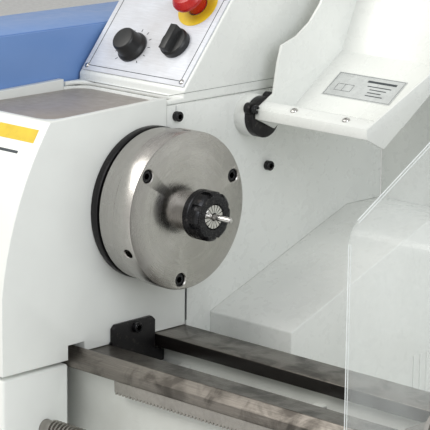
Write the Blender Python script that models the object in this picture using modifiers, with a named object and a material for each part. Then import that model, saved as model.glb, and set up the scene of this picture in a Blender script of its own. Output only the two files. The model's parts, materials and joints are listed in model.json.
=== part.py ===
"""A bench engine lathe, 280 mm swing and 700 mm between centres, at rest with its chuck guard raised.

Axes: +X along the spindle towards the tailstock, +Y to the back, +Z up.
Origin: below the spindle axis, at the collet chuck's front face, on the underside of the chip tray.
"""

import math

import bmesh
import bpy
from mathutils import Vector

GAP = 0.0003

# Heights
TRAY_SHEET = 0.003
TRAY_RIM = 0.030
BED_HEIGHT = 0.1867
CENTRE_HEIGHT = 0.140
BED_BASE = TRAY_SHEET + GAP
WAY_Z = BED_BASE + BED_HEIGHT
AXIS_Z = WAY_Z + CENTRE_HEIGHT

# Spindle nose, from the chuck's front face back to the headstock
CHUCK_RADIUS = 0.080
CHUCK_THICK = 0.0235
BACKPLATE_THICK = 0.023
RUNNING_GAP = 0.003
COVER_THICK = 0.008
BACKPLATE_X = -CHUCK_THICK - GAP - BACKPLATE_THICK
COVER_X = BACKPLATE_X - RUNNING_GAP - COVER_THICK
HEAD_RIGHT = COVER_X - GAP
NECK_RADIUS = 0.020
NECK_LENGTH = 0.016
NUT_RADIUS = 0.025
NUT_LENGTH = 0.021
COLLET_RADIUS = 0.0165
ROD_RADIUS = 0.003
ROD_REACH = 0.060
FACE_SCREW_PCD = 0.140
FACE_SCREW_ANGLES = (22.3, 142.3, 262.3)
FACE_HOLE_RADIUS = 0.0067
SCREW_HEAD_RADIUS = 0.0063

# Headstock
HEAD_LENGTH = 0.162
HEAD_LEFT = HEAD_RIGHT - HEAD_LENGTH
HEAD_TOP = AXIS_Z + 0.098
HEAD_FRONT_TOP = -0.130
HEAD_FRONT_BOTTOM = -0.194
HEAD_BACK = 0.056
HEAD_BACK_TOP = 0.0277
SEAM_Z = AXIS_Z + 0.066
TRAY_RECESS = 0.010
MAT_THICK = 0.003
BEARING_RADIUS = 0.040
BEARING_WIDTH = 0.022
JOURNAL_RADIUS = 0.028
SPINDLE_BORE = 0.019
SEAT_RADIUS = 0.022

# Bed
BED_LENGTH = 1.130
BED_LEFT = HEAD_LEFT
BED_RIGHT = BED_LEFT + BED_LENGTH
FRONT_RAIL = (-0.1036, -0.052)
REAR_RAIL = (0.011, 0.057)
RAIL_DEPTH = 0.0136
VEE_Y = -0.0947
VEE_RISE = 0.0066
RAIL_BASE = WAY_Z - RAIL_DEPTH
RIB_THICK = 0.014
RIB_COUNT = 7
RIB_TOP = WAY_Z - 0.030

# Drive and feed train
END_PLATE = 0.003
END_PLATE_X = HEAD_LEFT - GAP - END_PLATE
MOTOR_Y = 0.210
MOTOR_Z = WAY_Z - 0.040
MOTOR_RADIUS = 0.065
MOTOR_LENGTH = 0.250
SPINDLE_PULLEY_RADIUS = 0.060
MOTOR_PULLEY_RADIUS = 0.030
PULLEY_WIDTH = 0.017
PULLEY_X = END_PLATE_X - 0.0042 - PULLEY_WIDTH
BELT_THICK = 0.003
GEAR_MODULE = 0.0025
GEAR_WIDTH = 0.012
GEAR_X = PULLEY_X - 0.0055 - GEAR_WIDTH
SPINDLE_TEETH = 24
SCREW_TEETH = 36
COVER_DEPTH = 0.105
COVER_SHEET = 0.003
COVER_FRONT = -0.200
COVER_BACK = 0.290
COVER_BOTTOM = TRAY_RIM + 0.010
COVER_TOP = AXIS_Z + 0.155
COVER_LEFT = END_PLATE_X - GAP - COVER_DEPTH
PIN_RADIUS = 0.0025
HINGE_PIN = (END_PLATE_X - 0.0070, COVER_BACK + 0.0065)
SCREW_Y = -0.135
SCREW_Z = BED_BASE + 0.625 * BED_HEIGHT
SCREW_RADIUS = 0.011
SCREW_JOURNAL = 0.009
TRAIN_REACH = 1.02 * math.hypot(SCREW_Y, SCREW_Z - AXIS_Z)
IDLER_TEETH = math.ceil(TRAIN_REACH / GEAR_MODULE - (SPINDLE_TEETH + SCREW_TEETH) / 2)

# Cabinet, motor housing and control box behind the headstock
SHEET = 0.003
HOUSING_FRONT = 0.094
HOUSING_RIGHT = 0.057
HOUSING_BACK = 0.3657
SLOPE = 0.381
SLOPE_Y = 0.102
SLOPE_Z = WAY_Z + 0.0102
SHELF_Z = WAY_Z + 0.089
CABINET_TOP = AXIS_Z + 0.094
BOX_RIGHT = HEAD_RIGHT - 0.002
BOX_LEFT = BOX_RIGHT - 0.157
BOX_TOP = AXIS_Z + 0.200
PANEL_FOOT = (0.054, AXIS_Z + 0.106)
HEAD_RISE = 0.0043
PANEL_ANGLE = math.radians(51)
PANEL_THICK = 0.0015

# Chip tray and splash guard
TRAY_LEFT = COVER_LEFT - 0.015
TRAY_RIGHT = BED_RIGHT + 0.045
TRAY_FRONT = -0.215
SPLASH_Y = HOUSING_BACK + GAP
TRAY_BACK = SPLASH_Y + SHEET + GAP + TRAY_SHEET
SPLASH_TOP = AXIS_Z + 0.130

# Chuck guard, raised: its hinge axis runs along X
GUARD_Y = 0.148
GUARD_Z = AXIS_Z + 0.071
GUARD_LEFT = -0.033
GUARD_RIGHT = 0.119
GUARD_SHEET = 0.0025
COLLAR_RADIUS = 0.0225
COLLAR_END = HEAD_RIGHT + 0.0145
FLANGE_RADIUS = 0.0215

# Carriage, at rest half-way along the bed
SADDLE_X = 0.400
SADDLE_LENGTH = 0.140
SADDLE_TOP = WAY_Z + 0.040
SADDLE_FRONT = -0.140
CROSS_X = SADDLE_X + 0.070
CROSS_Z = SADDLE_TOP + 0.012
CROSS_THICK = 0.030
WHEEL_X = SADDLE_X + 0.030
RACK_BASE = RAIL_BASE - 0.0149
PINION_RADIUS = 0.008
WHEEL_Z = RACK_BASE - PINION_RADIUS - 0.0004
SHIELD_X = 0.335
SHIELD_LENGTH = 0.250
SHIELD_SHEET = 0.003
POST_X = CROSS_X - 0.008
POST_Y = -0.045

# Tailstock, at rest near the end of the bed
TAIL_X = 0.730
TAIL_LENGTH = 0.160
BARREL_RADIUS = 0.034
QUILL_RADIUS = 0.014
QUILL_NOSE = TAIL_X - 0.035

MATERIALS = {
    "white_paint": ((0.80, 0.82, 0.79), 0.42, 0.0),
    "blue_paint": ((0.20, 0.33, 0.62), 0.50, 0.0),
    "ground_iron": ((0.42, 0.41, 0.40), 0.38, 1.0),
    "turned_steel": ((0.58, 0.57, 0.56), 0.28, 1.0),
    "black_oxide": ((0.04, 0.04, 0.045), 0.40, 0.7),
    "brown_mat": ((0.36, 0.34, 0.32), 0.45, 0.3),
    "panel_sheet": ((0.78, 0.79, 0.82), 0.35, 0.2),
    "black_plastic": ((0.03, 0.03, 0.03), 0.45, 0.0),
    "red_plastic": ((0.70, 0.03, 0.02), 0.35, 0.0),
    "black_rubber": ((0.02, 0.02, 0.02), 0.80, 0.0),
    "clear_polycarbonate": ((0.85, 0.88, 0.87), 0.08, 0.0),
}


def clear_scene():
    for item in list(bpy.data.objects):
        bpy.data.objects.remove(item)


def make_materials():
    for name, (colour, roughness, metallic) in MATERIALS.items():
        material = bpy.data.materials.new(name)
        material.use_nodes = True
        shader = material.node_tree.nodes["Principled BSDF"]
        shader.inputs["Base Color"].default_value = (*colour, 1.0)
        shader.inputs["Roughness"].default_value = roughness
        shader.inputs["Metallic"].default_value = metallic


def collection(name):
    found = bpy.data.collections.get(name)
    if found is None:
        found = bpy.data.collections.new(name)
        bpy.context.scene.collection.children.link(found)
    return found


def add(name, data, material, location=(0, 0, 0), rotation=(0, 0, 0)):
    """A new object of the lathe, in its collection, with its material."""
    item = bpy.data.objects.new(name, data)
    item.location = location
    item.rotation_euler = rotation
    collection("metal_lathe").objects.link(item)
    data.materials.clear()
    data.materials.append(bpy.data.materials[material])
    return item


def smooth(mesh, angle=35):
    mesh.shade_smooth()
    mesh.set_sharp_from_angle(angle=math.radians(angle))


def block(name, low, high, material, bevel=0.0):
    """A box between two corners, its origin at its middle."""
    size = Vector(high) - Vector(low)
    mesh = bpy.data.meshes.new(name)
    shape = bmesh.new()
    bmesh.ops.create_cube(shape, size=1.0)
    bmesh.ops.scale(shape, vec=size, verts=shape.verts)
    shape.to_mesh(mesh)
    shape.free()
    item = add(name, mesh, material, (Vector(low) + Vector(high)) / 2)
    if bevel:
        rounding = item.modifiers.new("rounding", "BEVEL")
        rounding.width = bevel
        rounding.segments = 2
        smooth(mesh)
    return item


def turn_to(axis):
    """The rotation that takes local +Z onto this axis."""
    return Vector((0, 0, 1)).rotation_difference(Vector(axis)).to_euler()


def rod(name, radius, start, end, material, sides=32):
    """A cylinder from one point to another, its origin at the start."""
    start, end = Vector(start), Vector(end)
    length = (end - start).length
    mesh = bpy.data.meshes.new(name)
    shape = bmesh.new()
    bmesh.ops.create_cone(shape, cap_ends=True, segments=sides, radius1=radius, radius2=radius, depth=length)
    bmesh.ops.translate(shape, vec=(0, 0, length / 2), verts=shape.verts)
    shape.to_mesh(mesh)
    shape.free()
    smooth(mesh)
    return add(name, mesh, material, start, turn_to(end - start))


def turned(name, outer, inner, start, axis, material, sides=32):
    """A turned piece. outer and inner are (radius, distance along the axis) with distances that rise."""
    profile = [*reversed(outer), *inner]
    mesh = bpy.data.meshes.new(name)
    shape = bmesh.new()
    corners = [shape.verts.new((radius, 0, distance)) for radius, distance in profile]
    for first, second in zip(corners, corners[1:]):
        shape.edges.new((first, second))
    if inner:
        shape.edges.new((corners[-1], corners[0]))
    shape.to_mesh(mesh)
    shape.free()
    item = add(name, mesh, material, start, turn_to(axis))
    screw = item.modifiers.new("turning", "SCREW")
    screw.steps = sides
    screw.render_steps = sides
    screw.use_merge_vertices = True
    screw.merge_threshold = 0.0001
    screw.use_smooth_shade = False
    return item


def outline(name, rings, depth, material, location, rotation=(0, 0, 0)):
    """A flat outline, with any holes as further rings, extruded both ways from its own plane."""
    curve = bpy.data.curves.new(name, "CURVE")
    curve.dimensions = "2D"
    curve.fill_mode = "BOTH"
    curve.extrude = depth / 2
    for ring in rings:
        spline = curve.splines.new("POLY")
        spline.points.add(len(ring) - 1)
        for point, (across, up) in zip(spline.points, ring):
            point.co = (across, up, 0, 1)
        spline.use_cyclic_u = True
    drawn = add(name + "_outline", curve, material, location, rotation)
    bpy.context.view_layer.update()
    mesh = bpy.data.meshes.new_from_object(drawn.evaluated_get(bpy.context.evaluated_depsgraph_get()))
    mesh.name = name
    shape = bmesh.new()
    shape.from_mesh(mesh)
    bmesh.ops.remove_doubles(shape, verts=shape.verts, dist=0.00001)
    shape.to_mesh(mesh)
    shape.free()
    smooth(mesh)
    item = add(name, mesh, material)
    item.matrix_world = drawn.matrix_world
    bpy.data.objects.remove(drawn)
    return item


def profile_x(name, ring, left, right, material, holes=()):
    """An outline in (y, z), extruded along X."""
    middle = ((left + right) / 2, 0, 0)
    facing = (math.pi / 2, 0, math.pi / 2)
    return outline(name, [ring, *holes], right - left, material, middle, facing)


def profile_z(name, ring, bottom, top, material, holes=()):
    """An outline in (x, y), extruded along Z."""
    return outline(name, [ring, *holes], top - bottom, material, (0, 0, (bottom + top) / 2))


def tool_of(target, tool, operation):
    """Applies a second shape to a first one, and keeps it only as a guide."""
    change = target.modifiers.new(tool.name, "BOOLEAN")
    change.operation = operation
    change.object = tool
    tool.hide_render = True
    tool.display_type = "WIRE"
    for owner in tool.users_collection:
        owner.objects.unlink(tool)
    collection("cutters").objects.link(tool)


def cut(target, *tools):
    for tool in tools:
        tool_of(target, tool, "DIFFERENCE")


def join(target, *tools):
    for tool in tools:
        tool_of(target, tool, "UNION")


def arc(centre, radius, start, end, steps):
    """Points along a circle, from one angle to another in degrees."""
    found = []
    for step in range(steps + 1):
        angle = math.radians(start + (end - start) * step / steps)
        found.append((centre[0] + radius * math.cos(angle), centre[1] + radius * math.sin(angle)))
    return found


def circle(centre, radius, sides=32):
    return arc(centre, radius, 0, 360, sides)[:-1]


def rounded(left, low, right, high, radius, steps=3):
    """A rectangle with rounded corners, anticlockwise."""
    return [
        *arc((right - radius, low + radius), radius, -90, 0, steps),
        *arc((right - radius, high - radius), radius, 0, 90, steps),
        *arc((left + radius, high - radius), radius, 90, 180, steps),
        *arc((left + radius, low + radius), radius, 180, 270, steps),
    ]


def bowed(first, middle, last, steps):
    """Points on the arc through three points."""
    (ax, ay), (bx, by), (cx, cy) = first, middle, last
    twice = 2 * (ax * (by - cy) + bx * (cy - ay) + cx * (ay - by))
    a2, b2, c2 = ax * ax + ay * ay, bx * bx + by * by, cx * cx + cy * cy
    x = (a2 * (by - cy) + b2 * (cy - ay) + c2 * (ay - by)) / twice
    y = (a2 * (cx - bx) + b2 * (ax - cx) + c2 * (bx - ax)) / twice
    start = math.degrees(math.atan2(ay - y, ax - x)) % 360
    end = math.degrees(math.atan2(cy - y, cx - x)) % 360
    return arc((x, y), math.hypot(ax - x, ay - y), start, end, steps)


def strip(path, thickness):
    """The outline of a sheet that follows a path, its thickness on the path's left."""
    offset = []
    for index, (x, y) in enumerate(path):
        normals = []
        for first, second in ((index - 1, index), (index, index + 1)):
            if first >= 0 and second < len(path):
                along = Vector(path[second]) - Vector(path[first])
                normals.append(Vector((-along.y, along.x)).normalized())
        middle = sum(normals, Vector((0, 0))).normalized()
        reach = thickness / middle.dot(normals[0])
        offset.append((x + middle.x * reach, y + middle.y * reach))
    return [*path, *reversed(offset)]


def slope_z(y, lift=0.0):
    """The height of the motor housing's sloped top."""
    return SLOPE_Z + SLOPE * (y - SLOPE_Y) + lift


def build_tray():
    tray = block("chip_tray", (TRAY_LEFT, TRAY_FRONT, 0), (TRAY_RIGHT, TRAY_BACK, TRAY_RIM), "white_paint")
    inside = block(
        "tray_inside",
        (TRAY_LEFT + TRAY_SHEET, TRAY_FRONT + TRAY_SHEET, TRAY_SHEET),
        (TRAY_RIGHT - TRAY_SHEET, TRAY_BACK - TRAY_SHEET, TRAY_RIM + 0.01),
        "white_paint",
    )
    cut(tray, inside)
    sheet = block("rear_splash_guard", (HEAD_RIGHT + GAP, SPLASH_Y, BED_BASE),
                  (TRAY_RIGHT - TRAY_SHEET - GAP, SPLASH_Y + SHEET, SPLASH_TOP), "white_paint")
    return sheet


def beam_ring(rail, web, vee):
    """One longitudinal beam of the bed: rail on top, web below it, flange at the foot."""
    low, high = rail
    top = [(high, WAY_Z), (low, WAY_Z)]
    if vee:
        top = [(high, WAY_Z), (VEE_Y + 0.0075, WAY_Z), (VEE_Y + 0.0007, WAY_Z + VEE_RISE),
               (VEE_Y - 0.0007, WAY_Z + VEE_RISE), (low, WAY_Z - 0.0036)]
    return [
        (low, BED_BASE), (high, BED_BASE), (high, BED_BASE + 0.017), (web[1], BED_BASE + 0.022),
        (web[1], RAIL_BASE - 0.001), (high, RAIL_BASE), *top,
        (low, RAIL_BASE), (web[0], RAIL_BASE - 0.001), (web[0], BED_BASE + 0.022), (low, BED_BASE + 0.017),
    ]


def build_bed():
    front_web = (FRONT_RAIL[0] + 0.0156, FRONT_RAIL[1] - 0.016)
    rear_web = (REAR_RAIL[0] + 0.014, REAR_RAIL[1] - 0.012)
    bed = profile_x("bed", beam_ring(FRONT_RAIL, front_web, True), BED_LEFT, BED_RIGHT, "white_paint")
    rear = profile_x("rear_beam", beam_ring(REAR_RAIL, rear_web, False), BED_LEFT, BED_RIGHT, "white_paint")
    ribs = []
    for index in range(RIB_COUNT):
        middle = BED_LEFT + 0.010 + (BED_LENGTH - 0.020) * index / (RIB_COUNT - 1)
        low = (middle - RIB_THICK / 2, front_web[1] - 0.004, BED_BASE + 0.006)
        high = (middle + RIB_THICK / 2, rear_web[0] + 0.004, RIB_TOP)
        ribs.append(block(f"rib_{index}", low, high, "white_paint"))
    for rib in ribs:
        join(bed, rib)
    join(bed, rear)
    rack_y = front_web[0] - GAP
    block("feed_rack", (0.0, FRONT_RAIL[0] + 0.0030, RACK_BASE), (BED_RIGHT - 0.060, rack_y, RAIL_BASE - 0.001 - GAP),
          "turned_steel")
    build_bed_bracket(rear_web)


def build_bed_bracket(rear_web):
    """The plate that closes the space between the ways, on the headstock's right face."""
    left = FRONT_RAIL[1] + 0.0006
    right = REAR_RAIL[0] - 0.0032
    foot_right = rear_web[0] - 0.0045
    foot = RIB_TOP + 0.0006
    top = WAY_Z + 0.0205
    ring = [
        (left, foot), (foot_right, foot), (foot_right, RAIL_BASE - 0.004),
        (right, RAIL_BASE - 0.0005), (right, top - 0.0042), (right - 0.0045, top),
        (left + 0.0042, top), (left, top - 0.0040),
    ]
    profile_x("bed_end_bracket", ring, HEAD_RIGHT + GAP, HEAD_RIGHT + GAP + 0.005, "black_oxide")


def head_ring():
    """The headstock's section: bowed front, flat top, feet on the ways."""
    clear_vee = WAY_Z + 0.010
    clear_way = WAY_Z + 0.002
    overhang = WAY_Z - 0.005
    front = bowed((HEAD_FRONT_TOP - 0.004, HEAD_TOP - 0.005), (-0.1775, AXIS_Z + 0.006),
                  (HEAD_FRONT_BOTTOM, AXIS_Z - 0.067), 9)
    return [
        (HEAD_FRONT_BOTTOM, overhang), (FRONT_RAIL[0] - 0.0044, overhang), (FRONT_RAIL[0] - 0.0044, clear_vee),
        (VEE_Y + 0.0087, clear_vee), (VEE_Y + 0.0087, WAY_Z + GAP), (FRONT_RAIL[1], WAY_Z + GAP),
        (FRONT_RAIL[1], clear_way), (REAR_RAIL[0] + 0.001, clear_way), (REAR_RAIL[0] + 0.001, WAY_Z + GAP),
        (HEAD_BACK, WAY_Z + GAP), (HEAD_BACK, SEAM_Z), (HEAD_BACK_TOP, SEAM_Z),
        (HEAD_BACK_TOP, HEAD_TOP + HEAD_RISE),
        (HEAD_FRONT_TOP, HEAD_TOP), *front,
    ]


def tray_ring(inset):
    return rounded(HEAD_LEFT + 0.008 + inset, -0.124 + inset, HEAD_RIGHT - 0.008 - inset,
                   PANEL_FOOT[0] - 0.0015 - inset, 0.018)


def tray_recess(name):
    """A cutter for the tray's recess, which runs back from the headstock to the control box's lip."""
    return profile_z(name, tray_ring(0), HEAD_TOP - TRAY_RECESS, HEAD_TOP + 0.0075, "white_paint")


def build_headstock():
    head = profile_x("headstock", head_ring(), HEAD_LEFT, HEAD_RIGHT, "white_paint")
    bore = rod("head_bore", BEARING_RADIUS + GAP, (HEAD_LEFT - 0.01, 0, AXIS_Z), (HEAD_RIGHT + 0.01, 0, AXIS_Z),
               "white_paint")
    hollow = block("head_hollow", (HEAD_LEFT + 0.030, -0.048, WAY_Z - 0.05),
                   (HEAD_RIGHT - 0.028, 0.009, AXIS_Z + 0.060), "white_paint")
    cut(head, bore, hollow, tray_recess("head_recess"))
    floor = HEAD_TOP - TRAY_RECESS + GAP
    profile_z("tool_tray_mat", tray_ring(0.0008), floor, floor + MAT_THICK, "brown_mat")
    gearbox = block("feed_gearbox", (HEAD_LEFT, HEAD_FRONT_BOTTOM + 0.004, BED_BASE + 0.010),
                    (HEAD_RIGHT - 0.004, FRONT_RAIL[0] - 0.0006, WAY_Z - 0.010), "white_paint", 0.003)
    shaft = rod("gearbox_bore", SCREW_JOURNAL + GAP, (HEAD_LEFT - 0.01, SCREW_Y, SCREW_Z),
                (HEAD_RIGHT + 0.01, SCREW_Y, SCREW_Z), "white_paint")
    cut(gearbox, shaft)


def build_cabinet():
    """Cabinet behind the headstock, motor housing below it and control box on top."""
    low = WAY_Z - 0.045
    front = HEAD_BACK + 0.0023
    ring = [
        (front, low), (HOUSING_FRONT - GAP, low), (HOUSING_FRONT - GAP, slope_z(HOUSING_FRONT, GAP)),
        (SLOPE_Y + (SHELF_Z - SLOPE_Z) / SLOPE, SHELF_Z + GAP), (HOUSING_BACK, SHELF_Z + GAP),
        (HOUSING_BACK, CABINET_TOP), (HEAD_BACK_TOP + 0.0006, CABINET_TOP),
        (HEAD_BACK_TOP + 0.0006, SEAM_Z + GAP), (front, SEAM_Z + GAP),
    ]
    cabinet = profile_x("electrical_cabinet", ring, HEAD_LEFT, HEAD_RIGHT, "white_paint")
    inside = block("cabinet_inside", (HEAD_LEFT - 0.01, front + SHEET, SHELF_Z + 0.004),
                   (HEAD_RIGHT - SHEET, HOUSING_BACK - SHEET, CABINET_TOP - SHEET), "white_paint")
    collar = rod("hinge_collar", COLLAR_RADIUS, (HEAD_RIGHT - 0.002, GUARD_Y, GUARD_Z),
                 (COLLAR_END, GUARD_Y, GUARD_Z), "white_paint")
    stub = rod("hinge_stub", 0.006, (HEAD_RIGHT - 0.002, GUARD_Y, GUARD_Z),
               (COLLAR_END + 0.006, GUARD_Y, GUARD_Z), "white_paint", 24)
    cut(cabinet, inside, tray_recess("cabinet_recess"))
    join(cabinet, collar, stub)
    gland = (HEAD_LEFT + 0.060, HOUSING_BACK + GAP, AXIS_Z + 0.020)
    turned("cable_gland", [(0.012, 0), (0.012, 0.006), (0.009, 0.007), (0.009, 0.018), (0.007, 0.022)],
           [(0.004, 0), (0.004, 0.022)], gland, (0, 1, 0), "black_plastic", 16)


def build_motor_housing():
    knee = SLOPE_Y + (SHELF_Z - SLOPE_Z) / SLOPE
    ring = [
        (HOUSING_FRONT, BED_BASE), (HOUSING_BACK, BED_BASE), (HOUSING_BACK, SHELF_Z), (knee, SHELF_Z),
        (HOUSING_FRONT, slope_z(HOUSING_FRONT)),
    ]
    inner = [
        (HOUSING_FRONT + SHEET, BED_BASE - 0.01), (HOUSING_BACK - SHEET, BED_BASE - 0.01),
        (HOUSING_BACK - SHEET, SHELF_Z - SHEET), (knee + 0.001, SHELF_Z - SHEET),
        (HOUSING_FRONT + SHEET, slope_z(HOUSING_FRONT, -0.0025)),
    ]
    housing = profile_x("motor_housing", ring, HEAD_LEFT, HOUSING_RIGHT, "white_paint")
    cut(housing, profile_x("housing_inside", inner, HEAD_LEFT - 0.01, HOUSING_RIGHT - SHEET, "white_paint"))
    motor = rod("motor", MOTOR_RADIUS, (HEAD_LEFT, MOTOR_Y, MOTOR_Z), (HEAD_LEFT + MOTOR_LENGTH, MOTOR_Y, MOTOR_Z),
                "black_oxide")
    cut(motor, rod("motor_bore", 0.0098, (HEAD_LEFT - 0.01, MOTOR_Y, MOTOR_Z),
                   (HEAD_LEFT + 0.020, MOTOR_Y, MOTOR_Z), "black_oxide"))


def panel_point(along, up, lift):
    """A point over the sloping panel: along X, up its slope, and out from it."""
    y = PANEL_FOOT[0] + up * math.cos(PANEL_ANGLE) - lift * math.sin(PANEL_ANGLE)
    z = PANEL_FOOT[1] + up * math.sin(PANEL_ANGLE) + lift * math.cos(PANEL_ANGLE)
    return Vector((along, y, z))


def build_control_box():
    crest = PANEL_FOOT[0] + (BOX_TOP - PANEL_FOOT[1]) / math.tan(PANEL_ANGLE)
    base = CABINET_TOP + GAP
    ring = [
        (HEAD_BACK_TOP + 0.0026, base), (0.300, base), (0.300, BOX_TOP), (crest, BOX_TOP), PANEL_FOOT,
        (PANEL_FOOT[0], HEAD_TOP + 0.0010), (HEAD_BACK_TOP + 0.0026, HEAD_TOP + 0.0010),
    ]
    box = profile_x("control_box", ring, BOX_LEFT, BOX_RIGHT, "white_paint")
    cut(box, block("box_inside", (BOX_LEFT + SHEET, crest + 0.006, base - 0.01),
                   (BOX_RIGHT - SHEET, 0.300 - SHEET, BOX_TOP - SHEET), "white_paint"), tray_recess("box_recess"))
    out = (0, -math.sin(PANEL_ANGLE), math.cos(PANEL_ANGLE))
    length = (BOX_TOP - PANEL_FOOT[1]) / math.sin(PANEL_ANGLE)
    middle = (BOX_LEFT + BOX_RIGHT) / 2
    panel = block("control_panel", (-0.0755, -(length - 0.008) / 2, 0), (0.0755, (length - 0.008) / 2, PANEL_THICK),
                  "panel_sheet")
    panel.rotation_euler = (PANEL_ANGLE, 0, 0)
    panel.location = panel_point(middle, length / 2, GAP + PANEL_THICK / 2)
    seat = 2 * GAP + PANEL_THICK
    knob_at = panel_point(BOX_LEFT + 0.059, 0.038, seat)
    turned("speed_knob", [(0, 0), (0.0175, 0), (0.0175, 0.003), (0.0150, 0.006), (0.0135, 0.018), (0.012, 0.020),
                          (0, 0.020)], [], knob_at, out, "black_plastic")
    switch_at = panel_point(BOX_RIGHT - 0.041, 0.050, seat)
    switch = turned("direction_switch", [(0, 0), (0.0165, 0), (0.0165, 0.006), (0.015, 0.008), (0, 0.008)], [],
                    switch_at, out, "black_plastic")
    bar = block("switch_bar", (-0.0042, -0.0145, 0), (0.0042, 0.0145, 0.012), "black_plastic")
    bar.rotation_euler = (PANEL_ANGLE, 0, 0)
    bar.location = switch_at + Vector(out) * 0.011
    join(switch, bar)
    stop_at = panel_point(BOX_RIGHT - 0.040, 0.098, seat)
    turned("emergency_stop", [(0, 0), (0.011, 0), (0.011, 0.014), (0.019, 0.016), (0.019, 0.020),
                              (0.014, 0.026), (0, 0.028)], [], stop_at, out, "red_plastic")
    for target in (box, panel):
        well = rod(f"stop_well_in_{target.name}", 0.0114, stop_at - Vector(out) * 0.009, stop_at + Vector(out) * 0.01,
                   "black_plastic")
        cut(target, well)


def gear_ring(teeth, centre, phase):
    """Points of a gear's outline. phase, in radians, is where the middle of one tooth lies."""
    pitch_radius = GEAR_MODULE * teeth / 2
    tip = pitch_radius + 0.85 * GEAR_MODULE
    root = pitch_radius - 1.15 * GEAR_MODULE
    points = []
    for tooth in range(teeth):
        middle = phase + 2 * math.pi * tooth / teeth
        for radius, share in ((root, -0.32), (tip, -0.10), (tip, 0.10), (root, 0.32)):
            angle = middle + share * 2 * math.pi / teeth
            points.append((centre[0] + radius * math.cos(angle), centre[1] + radius * math.sin(angle)))
    return points


def idler_centre():
    """Where the idler meshes both with the spindle gear and with the leadscrew gear."""
    near = GEAR_MODULE * (SPINDLE_TEETH + IDLER_TEETH) / 2
    far = GEAR_MODULE * (SCREW_TEETH + IDLER_TEETH) / 2
    away = Vector((SCREW_Y, SCREW_Z - AXIS_Z))
    reach = away.length
    along = (reach * reach + near * near - far * far) / (2 * reach)
    aside = math.sqrt(near * near - along * along)
    unit = away / reach
    return Vector((0, AXIS_Z)) + unit * along + Vector((unit.y, -unit.x)) * aside


def build_feed_train():
    """Change gears at the left end, with a tooth of one in a gap of the next."""
    idler = idler_centre()
    to_spindle = math.atan2(AXIS_Z - idler.y, -idler.x)
    to_screw = math.atan2(SCREW_Z - idler.y, SCREW_Y - idler.x)
    pitch = 2 * math.pi / IDLER_TEETH
    turned_on = ((to_screw - to_spindle) / pitch) % 1
    left, right = GEAR_X, GEAR_X + GEAR_WIDTH
    profile_x("idler_gear", gear_ring(IDLER_TEETH, idler, to_spindle), left, right, "turned_steel",
              [circle(idler, 0.0083, 24)])
    screw_pitch = 2 * math.pi / SCREW_TEETH
    screw_phase = to_screw + math.pi + (0.5 + turned_on) * screw_pitch
    profile_x("leadscrew_gear", gear_ring(SCREW_TEETH, (SCREW_Y, SCREW_Z), screw_phase), left, right,
              "turned_steel", [circle((SCREW_Y, SCREW_Z), SCREW_JOURNAL + GAP, 24)])
    spindle_phase = to_spindle + math.pi + math.pi / SPINDLE_TEETH
    gear = profile_x("spindle_teeth", gear_ring(SPINDLE_TEETH, (0, AXIS_Z), spindle_phase), left, right,
                     "turned_steel", [circle((0, AXIS_Z), SEAT_RADIUS + GAP)])
    pulley = turned("spindle_pulley", [(SPINDLE_PULLEY_RADIUS, -PULLEY_WIDTH), (SPINDLE_PULLEY_RADIUS, 0)],
                    [(SEAT_RADIUS + GAP, -PULLEY_WIDTH), (SEAT_RADIUS + GAP, 0)],
                    (PULLEY_X + PULLEY_WIDTH, 0, AXIS_Z), (1, 0, 0), "turned_steel")
    hub = turned("gear_hub", [(0.026, -0.008), (0.026, 0.002)], [(SEAT_RADIUS + GAP, -0.008),
                 (SEAT_RADIUS + GAP, 0.002)], (PULLEY_X, 0, AXIS_Z), (1, 0, 0), "turned_steel")
    join(pulley, hub, gear)
    return idler


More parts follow.
